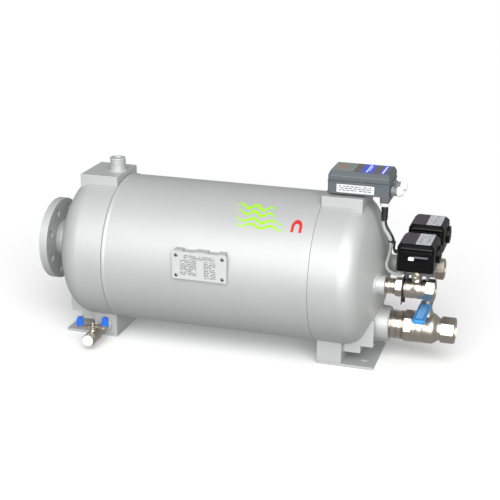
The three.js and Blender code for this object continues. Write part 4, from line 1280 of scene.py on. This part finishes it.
class MAGFILTER_OT_motor_valves(bpy.types.Operator):
    """Builds the front and rear weld sockets, nipples, ball valves and brackets"""
    bl_idname = "magfilter.motor_valves"
    bl_label = "Motorised valves"

    def execute(self, context):
        z, sx = MOTOR["z"], MOTOR["stem_x"]
        for name, y in (("front", -MOTOR["y"]), ("rear", MOTOR["y"])):
            centre = (0, y, z)
            socket = turned(f"{name}_weld_socket",
                            eased([(17.2, 112), (21, 112), (21, 144.4), (20, 145.8), (17.8, 146),
                                   (17.2, 145.4), (17.2, 112)], 0.7), "X", centre, 72)
            ready(socket, "enamel", "paint", f"{name}_socket")
            outline = [(13.5, 132), (16.2, 132)] + threads(16.8, 138, 152, PIPE_PITCH, 1.0)
            outline += [(16.7, 152.4), (16.7, 157.6), (15.7, 158.4), (15.7, 159.8),
                        (16.7, 160.6), (16.7, 164)]
            outline += threads(16.8, 164.2, 176, PIPE_PITCH, 1.0) + [(16, 178), (13.5, 178), (13.5, 132)]
            ready(turned(f"{name}_turned_nipple", outline, "X", centre, 72), "turned_x",
                  "nickel", f"{name}_nipple")
            outline = [(0, 181), (20.2, 181), (21, 182), (21, 186), (20.3, 187), (20.3, 189), (21, 190),
                       (21, 204), (20.4, 205.2), (20.4, 206.8), (21, 208), (21, 219), (20.4, 220),
                       (20.4, 221.6), (21, 222.6), (21, 229), (20.4, 231), (0, 231)]
            body = turned(f"{name}_valve_forging", eased(outline, 0.5, 3), "X", centre, 80)
            fuse(body, prism("collar", 6, 36, 167, 182, centre),
                 prism("outlet", 6, 41, 229.5, MOTOR["end"], centre),
                 turned("boss", eased([(0, z + 15), (12.5, z + 15), (11, z + 21), (10, z + 22.5),
                                       (10, z + 26), (0, z + 26)], 0.9), "Z", (sx, y, 0), 56),
                 rod("pad", 6.5, y - 22.2, y - 15, "Y", (sx - 4, 0, z + 3), 40, 0.8))
            mouth = [(0, 234), (15.2, 234)] + threads(15.8, 235, 247.6, PIPE_PITCH, 0.8)
            mouth += [(16, 247.8), (17.2, MOTOR["end"] + 1), (0, MOTOR["end"] + 1)]
            cut(body, plain_rod(17.2, 166, 180, "X", centre), plain_rod(10.5, 179, 236, "X", centre),
                plain_rod(16.2, sx - 15.5, sx + 15.5, "X", centre), turned("tool", mouth, "X", centre, 64),
                plain_rod(5.3, z, 30, "Z", (sx, y, 0)))
            ready(body, "forged", "nickel", f"{name}_valve_body")

            ball = closing_ball(f"{name}_closing_ball", 15, (sx, y, z))
            fuse(ball, rod("stem", 5, z + 8, 62, "Z", (sx, y, 0), 40, 0.5))
            cut(ball, plain_rod(9.5, y - 30, y + 30, "Y", (sx, 0, z)))
            ready(ball, "chromed_ball", "steel", f"{name}_ball", body=f"{name}_valve")

            bracket = slab(f"{name}_actuator_bracket", (188, 236), (y - 20, y + 20), (23.3, 46.7), "Z", 4)
            ease_edges(bracket, 1.0, 3)
            cut(bracket, plain_rod(8, 20, 50, "Z", (sx, y, 0)),
                ease_edges(block("tool", (sx + 9, sx + 21), (y - 26, y + 26), (22, 34)), 1.0),
                ease_edges(block("tool", (sx - 19, sx - 9), (y - 26, y + 26), (22, 34)), 1.0))
            ready(bracket, "bracket", "grey_plastic", f"{name}_bracket")
            bolt = rod(f"{name}_bracket_screw", 6.0, y - 26, y - 19.8, "Y", (sx, 0, 31.5), 48, 1.4)
            fuse(bolt, rod("flange", 7.6, y - 21.6, y - 19.8, "Y", (sx, 0, 31.5), 48, 0.5))
            socket_tool = block("tool", (sx - 2.6, sx + 2.6), (y - 28, y - 23), (28.9, 34.1))
            cut(bolt, socket_tool)
            ready(bolt, "turned_y", "nickel")
        return {"FINISHED"}


class MAGFILTER_OT_actuators(bpy.types.Operator):
    """Builds the two valve actuators: housing, cover, rating label, position slot and knob"""
    bl_idname = "magfilter.actuators"
    bl_label = "Actuators"

    def execute(self, context):
        x0, x1, half, bottom, split, top, slot = ACTUATOR.values()
        for name, y in (("front", -MOTOR["y"]), ("rear", MOTOR["y"])):
            housing = slab(f"{name}_actuator_housing", (x0, x1), (y - half, y + half),
                           (bottom, split), "Z", 9, 8)
            ease_edges(housing, 2.2, 4)
            lip = slab("lip", (x0 - 0.6, x1 + 0.6), (y - half - 0.6, y + half + 0.6),
                       (split - 5, split - 1), "Z", 9.4, 8)
            ear = rod("ear", 19, x1 - 2, x1 + 6, "X", (0, y + 14, 72), 64, 1.6)
            fuse(housing, ease_edges(lip, 0.8), ear,
                 rod("dome", 12, x1 + 4, x1 + 7, "X", (0, y + 14, 72), 48, 1.2))
            recess = slab("tool", (slot[0] - 2, slot[1] + 2), (y - half - 2, y - half + 1.2), (70, 83), "Y",
                          4, 6)
            track = slab("tool", (slot[0], slot[1]), (y - half - 2, y - half + 8), (72.5, 80.5), "Y", 3.4, 6)
            cut(housing, block("tool", inset(x0, x1, 4), (y - half + 14, y + half - 4),
                               (bottom + 4, split + 1)),
                plain_rod(6, bottom - 5, bottom + 6, "Z", (MOTOR["stem_x"], y, 0)), recess, track)
            ready(housing, "housing", "black_plastic", f"{name}_housing")
            bezel = slab(f"{name}_position_window", (slot[0] + 13, slot[1] - 1),
                         (y - half + 0.6, y - half + 1.0), (78.3, 81.6), "Y", 1, 3)
            ready(bezel, "bracket", "black_plastic")

            cover = slab(f"{name}_actuator_cover", (x0, x1), (y - half, y + half),
                         (split + 0.3, top), "Z", 9, 8)
            only(cover)
            bpy.ops.object.mode_set(mode="EDIT")
            select_faces(cover, lambda middle, normal: normal.z > 0.9)
            bpy.ops.transform.translate(value=(0, 0, -7.5 * MM))
            bpy.ops.mesh.extrude_region_move(TRANSFORM_OT_translate={"value": (0, 0, 7.5 * MM)})
            bpy.ops.transform.resize(value=(1 - 13 / (x1 - x0), 1 - 14 / (2 * half), 1),
                                     center_override=at((x0 + x1) / 2, y, top))
            bpy.ops.object.mode_set(mode="OBJECT")
            ease_edges(cover, 1.8, 4, 20)
            cut(cover, block("tool", inset(x0, x1, 12), inset(y - half, y + half, 12), (split - 1, top - 3)))
            ready(cover, "housing", "charcoal_plastic", f"{name}_cover")
            panel = slab(f"{name}_cover_panel", inset(x0, x1, 8), inset(y - half, y + half, 9),
                         (top - 0.4, top + 0.15), "Z", 3, 3)
            ready(panel, "cover_film", "charcoal_plastic")
            film = slab(f"{name}_cover_label", (x0 + 36, x1 - 9.5), inset(y - half, y + half, 10),
                        (top - 0.3, top + 0.3), "Z", 2, 3)
            ready(film, f"{name}_film", "charcoal_plastic")
            knob = block(f"{name}_position_knob", (slot[0] + 0.6, slot[0] + 12),
                         (y - half - 3, y - half + 7.4), (73.1, 79.9))
            round_corners(knob, "Y", 1.6, 4)
            ease_edges(knob, 0.7)
            grip = [block("tool", (slot[0] + 3.3 + 2.6 * k, slot[0] + 4.1 + 2.6 * k),
                          (y - half - 4, y - half - 2.4), (72, 81)) for k in range(3)]
            ready(cut(knob, *grip), "nylon", "white_plastic", f"{name}_knob", body=f"{name}_indicator")
            corners = [(sx, sy, top - 5.2) for sx in inset(x0, x1, 9) for sy in inset(y - half, y + half, 8)]
            screws = repeated(screw("screw", corners[0], 2.3, 1.2), corners)
            ready(gather(f"{name}_cover_screws", screws), "stainless", "steel")
        return {"FINISHED"}


FRONT_LEAD = [(131.2, -27.4, 125), (134.5, -27, 113), (148, -33, 94), (156, -50, 85), (159, -68, 80),
              (163, -80, 78.5), (167, -83.4, 78.5), (171.3, -83.5, 78.5)]
REAR_LEAD = [(128, -33, 124.8), (128.8, -33.4, 117), (133, -36, 107), (143, -41.5, 94), (149, -47, 78),
             (145.5, -51, 52), (142.5, -53.5, 38), (147, -56, 27), (158, -59, 22.3), (172, -62, 22.5),
             (180, -56, 25), (181.5, -38, 29), (180, -18, 35), (171, 8, 44), (160, 30, 57), (161, 43, 65.5),
             (166, 47.9, 68), (171.3, 48, 68)]


def nearest(points, axis, value):
    """The place along a lead where one coordinate comes closest to a value."""
    return min(smooth_path(points, 1.0), key=lambda spot: abs(spot[axis] - value))


def loop_round(circles, steps=72):
    """A band pulled tight round circles, each a middle and a radius."""
    loop = []
    for i in range(steps):
        out = Vector((math.cos(2 * math.pi * i / steps), math.sin(2 * math.pi * i / steps)))
        middle, radius = max(circles, key=lambda c: Vector(c[0]).dot(out) + c[1])
        loop.append(Vector(middle) + out * radius)
    return loop


def flat_band(path, radius, scale):
    """A tie's closed strap: a bar along a path, flattened or widened about its middle."""
    as_mesh(tube_along("tie", path, radius, cyclic=True))
    middle = sum((Vector(p) for p in path), Vector()) / len(path)
    bpy.ops.transform.resize(value=scale, center_override=at(*middle))
    return settled("tie")


class MAGFILTER_OT_leads(bpy.types.Operator):
    """Lays the two actuator leads with their boot and ties"""
    bl_idname = "magfilter.leads"
    bl_label = "Leads"

    def execute(self, context):
        sizes = context.scene.filter_sizes
        for name, points, radius, finish, slot, node in (
                ("front_actuator_lead", FRONT_LEAD, 2.6, "black_sheath", "black_plastic", "front_lead"),
                ("rear_actuator_lead", REAR_LEAD, sizes.cable, "grey_sheath", "grey_lead", "rear_lead")):
            path = smooth_path(points)
            lead = tube_along(name, path, radius)
            ready(lead, finish, slot, node)
            end = Vector(points[-1])
            grommet = turned(f"{name}_grommet",
                             eased([(radius, end.x - 9), (radius + 1.0, end.x - 9), (radius + 2.2, end.x - 2),
                                    (radius + 2.2, end.x), (radius, end.x), (radius, end.x - 9)], 0.6), "X",
                             (0, end.y, end.z), 32)
            ready(grommet, "black_sheath", "black_plastic")
        deep = BOX["deep"]
        outline = [(0, deep + 8), (4.5, deep + 8), (4.5, deep - 2), (6.2, deep - 3),
                   (6.2, deep - 11), (7.4, deep - 12.4)]
        for rib in range(5):
            z = deep - 14 - rib * 4.2
            outline += [(7.4, z), (7.4, z - 1.6), (6.5, z - 2.2), (6.5, z - 3.6)]
        outline += [(7.0, 127.4), (6.4, 126), (0, 126)]
        ready(turned("lead_boot", eased(outline, 0.4, 3), "Z", (GLAND["x"], GLAND["y"], 0), 48),
              "black_sheath", "black_plastic", "cable_boot")

        strap, y, z = sizes.strap, -MOTOR["y"], MOTOR["z"]
        bound = nearest(REAR_LEAD, 0, 178)
        loop = [(184.5, a, b) for a, b in loop_round([((y, z), 21.9), (bound.yz, sizes.cable + 0.9)])]
        catch = ease_edges(block("tie", (179.4, 187.6), (y - 7, y + 1), (z - 31, z - 20.6)), 0.8)
        tail = smooth_path([(183, y - 4, z - 27), (182, y - 6, z - 31), (180.5, y - 7, z - 34),
                            (180, y - 7.5, z - 36)])
        height = 86
        pair = [(nearest(FRONT_LEAD, 2, height).xy, 2.9),
                (nearest(REAR_LEAD, 2, height).xy, sizes.cable + 0.3)]
        ties = [flat_band(loop, 0.8, (strap / 1.6, 1, 1)), catch, as_mesh(tube_along("tie", tail, 1.3)),
                flat_band([(a, b, height) for a, b in loop_round(pair)], 1.0, (1, 1, 1.8)),
                ease_edges(block("tie", (153, 157), (-53, -48.5), (height - 3, height + 2)), 0.6)]
        ready(gather("cable_ties", ties), "tie", "black_plastic")
        return {"FINISHED"}


class MAGFILTER_OT_internals(bpy.types.Operator):
    """Gives the pieces inside the vessel their finishes"""
    bl_idname = "magfilter.internals"
    bl_label = "Internal pieces"

    def execute(self, context):
        finishes = {"magnet_support": "stainless", "front_magnet_sleeve": "stainless",
                    "rear_magnet_sleeve": "stainless", "front_magnet_core": "magnet",
                    "rear_magnet_core": "magnet", "filter_screen": "stainless", }
        for node, finish in finishes.items():
            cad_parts[node].data.materials[0] = finish_of(finish)
        return {"FINISHED"}


def area_light(name, place, target, size, power, tint="#ffffff"):
    deselect()
    bpy.ops.object.light_add(type="AREA", location=place)
    light = bpy.context.object
    light.name = name
    light.data.shape = "RECTANGLE"
    light.data.size, light.data.size_y = size
    light.data.energy = power
    light.data.color = colour(tint)[:3]
    light.rotation_euler = (Vector(target) - Vector(place)).to_track_quat("-Z", "Y").to_euler()
    return light


class MAGFILTER_OT_studio(bpy.types.Operator):
    """Sets the camera, the pale floor and the soft studio lights"""
    bl_idname = "magfilter.studio"
    bl_label = "Studio"

    def execute(self, context):
        studio = context.scene.filter_studio
        deselect()
        bpy.ops.object.camera_add(location=studio.place)
        camera = context.object
        camera.name = "studio_camera"
        camera.data.sensor_width, camera.data.lens = 36, studio.lens
        camera.data.clip_start, camera.data.clip_end = 0.05, 50
        back = Vector((math.sin(studio.azimuth) * math.cos(studio.elevation),
                       -math.cos(studio.azimuth) * math.cos(studio.elevation), math.sin(studio.elevation)))
        right = Vector((math.cos(studio.azimuth), math.sin(studio.azimuth), 0))
        up = back.cross(right)
        across = right * math.cos(studio.roll) + up * math.sin(studio.roll)
        above = up * math.cos(studio.roll) - right * math.sin(studio.roll)
        camera.rotation_euler = Matrix((across, above, back)).transposed().to_euler()
        context.scene.camera = camera

        deselect()
        bpy.ops.mesh.primitive_plane_add(size=30, location=(0, 0, 0))
        floor = settled("studio_floor")
        floor.data.materials.append(finish_of("floor"))
        # the floor takes shadows but throws no light back, so the pieces' undersides stay dark
        floor.visible_diffuse = floor.visible_glossy = False
        area_light("key_light", (0.9, -2.3, 0.75), (0.05, 0, 0.22), (1.5, 0.8), studio.key_power)
        turn, height = studio.azimuth, math.radians(28)
        towards = Vector((math.sin(turn) * math.cos(height),
                          -math.cos(turn) * math.cos(height), math.sin(height)))
        deselect()
        bpy.ops.object.light_add(type="SUN", rotation=(-towards).to_track_quat("-Z", "Y").to_euler())
        sun = context.object
        sun.name = "front_light"
        sun.data.energy, sun.data.angle = studio.front_power, math.radians(70)
        world = bpy.data.worlds.new("white_surroundings")
        world.use_nodes = True
        world.node_tree.nodes["Background"].inputs["Color"].default_value = (1, 1, 1, 1)
        world.node_tree.nodes["Background"].inputs["Strength"].default_value = studio.sky
        context.scene.world = world
        context.scene.view_settings.view_transform = "Standard"
        return {"FINISHED"}


class MAGFILTER_PT_panel(bpy.types.Panel):
    """Lists the filter's colours, sizes and building steps"""
    bl_idname = "MAGFILTER_PT_panel"
    bl_label = "Magnetic System Filter"
    bl_space_type = "VIEW_3D"
    bl_region_type = "UI"
    bl_category = "Filter"

    def draw(self, context):
        scene = context.scene
        for group in (scene.filter_finish, scene.filter_sizes, scene.filter_studio):
            box = self.layout.box()
            for name in group.__annotations__:
                box.prop(group, name)
        for operator in STEPS:
            self.layout.operator(operator.bl_idname)


# the studio and the leads come first
STEPS = (
    MAGFILTER_OT_studio, MAGFILTER_OT_leads, MAGFILTER_OT_vessel, MAGFILTER_OT_inlet, MAGFILTER_OT_pads,
    MAGFILTER_OT_feet, MAGFILTER_OT_drain, MAGFILTER_OT_nameplate, MAGFILTER_OT_controller,
    MAGFILTER_OT_lower_valve, MAGFILTER_OT_motor_valves, MAGFILTER_OT_actuators, MAGFILTER_OT_internals,
)
GROUPS = {"filter_finish": FilterFinish, "filter_sizes": FilterSizes, "filter_studio": StudioSettings}
CLASSES = (*GROUPS.values(), *STEPS, MAGFILTER_PT_panel)


def register():
    for cls in CLASSES:
        bpy.utils.register_class(cls)
    for name, group in GROUPS.items():
        setattr(bpy.types.Scene, name, bpy.props.PointerProperty(type=group))


def unregister():
    for name in GROUPS:
        delattr(bpy.types.Scene, name)
    for cls in reversed(CLASSES):
        bpy.utils.unregister_class(cls)


def main():
    register()
    for step in STEPS:
        family, name = step.bl_idname.split(".")
        getattr(getattr(bpy.ops, family), name)()


if __name__ == "__main__":
    main()
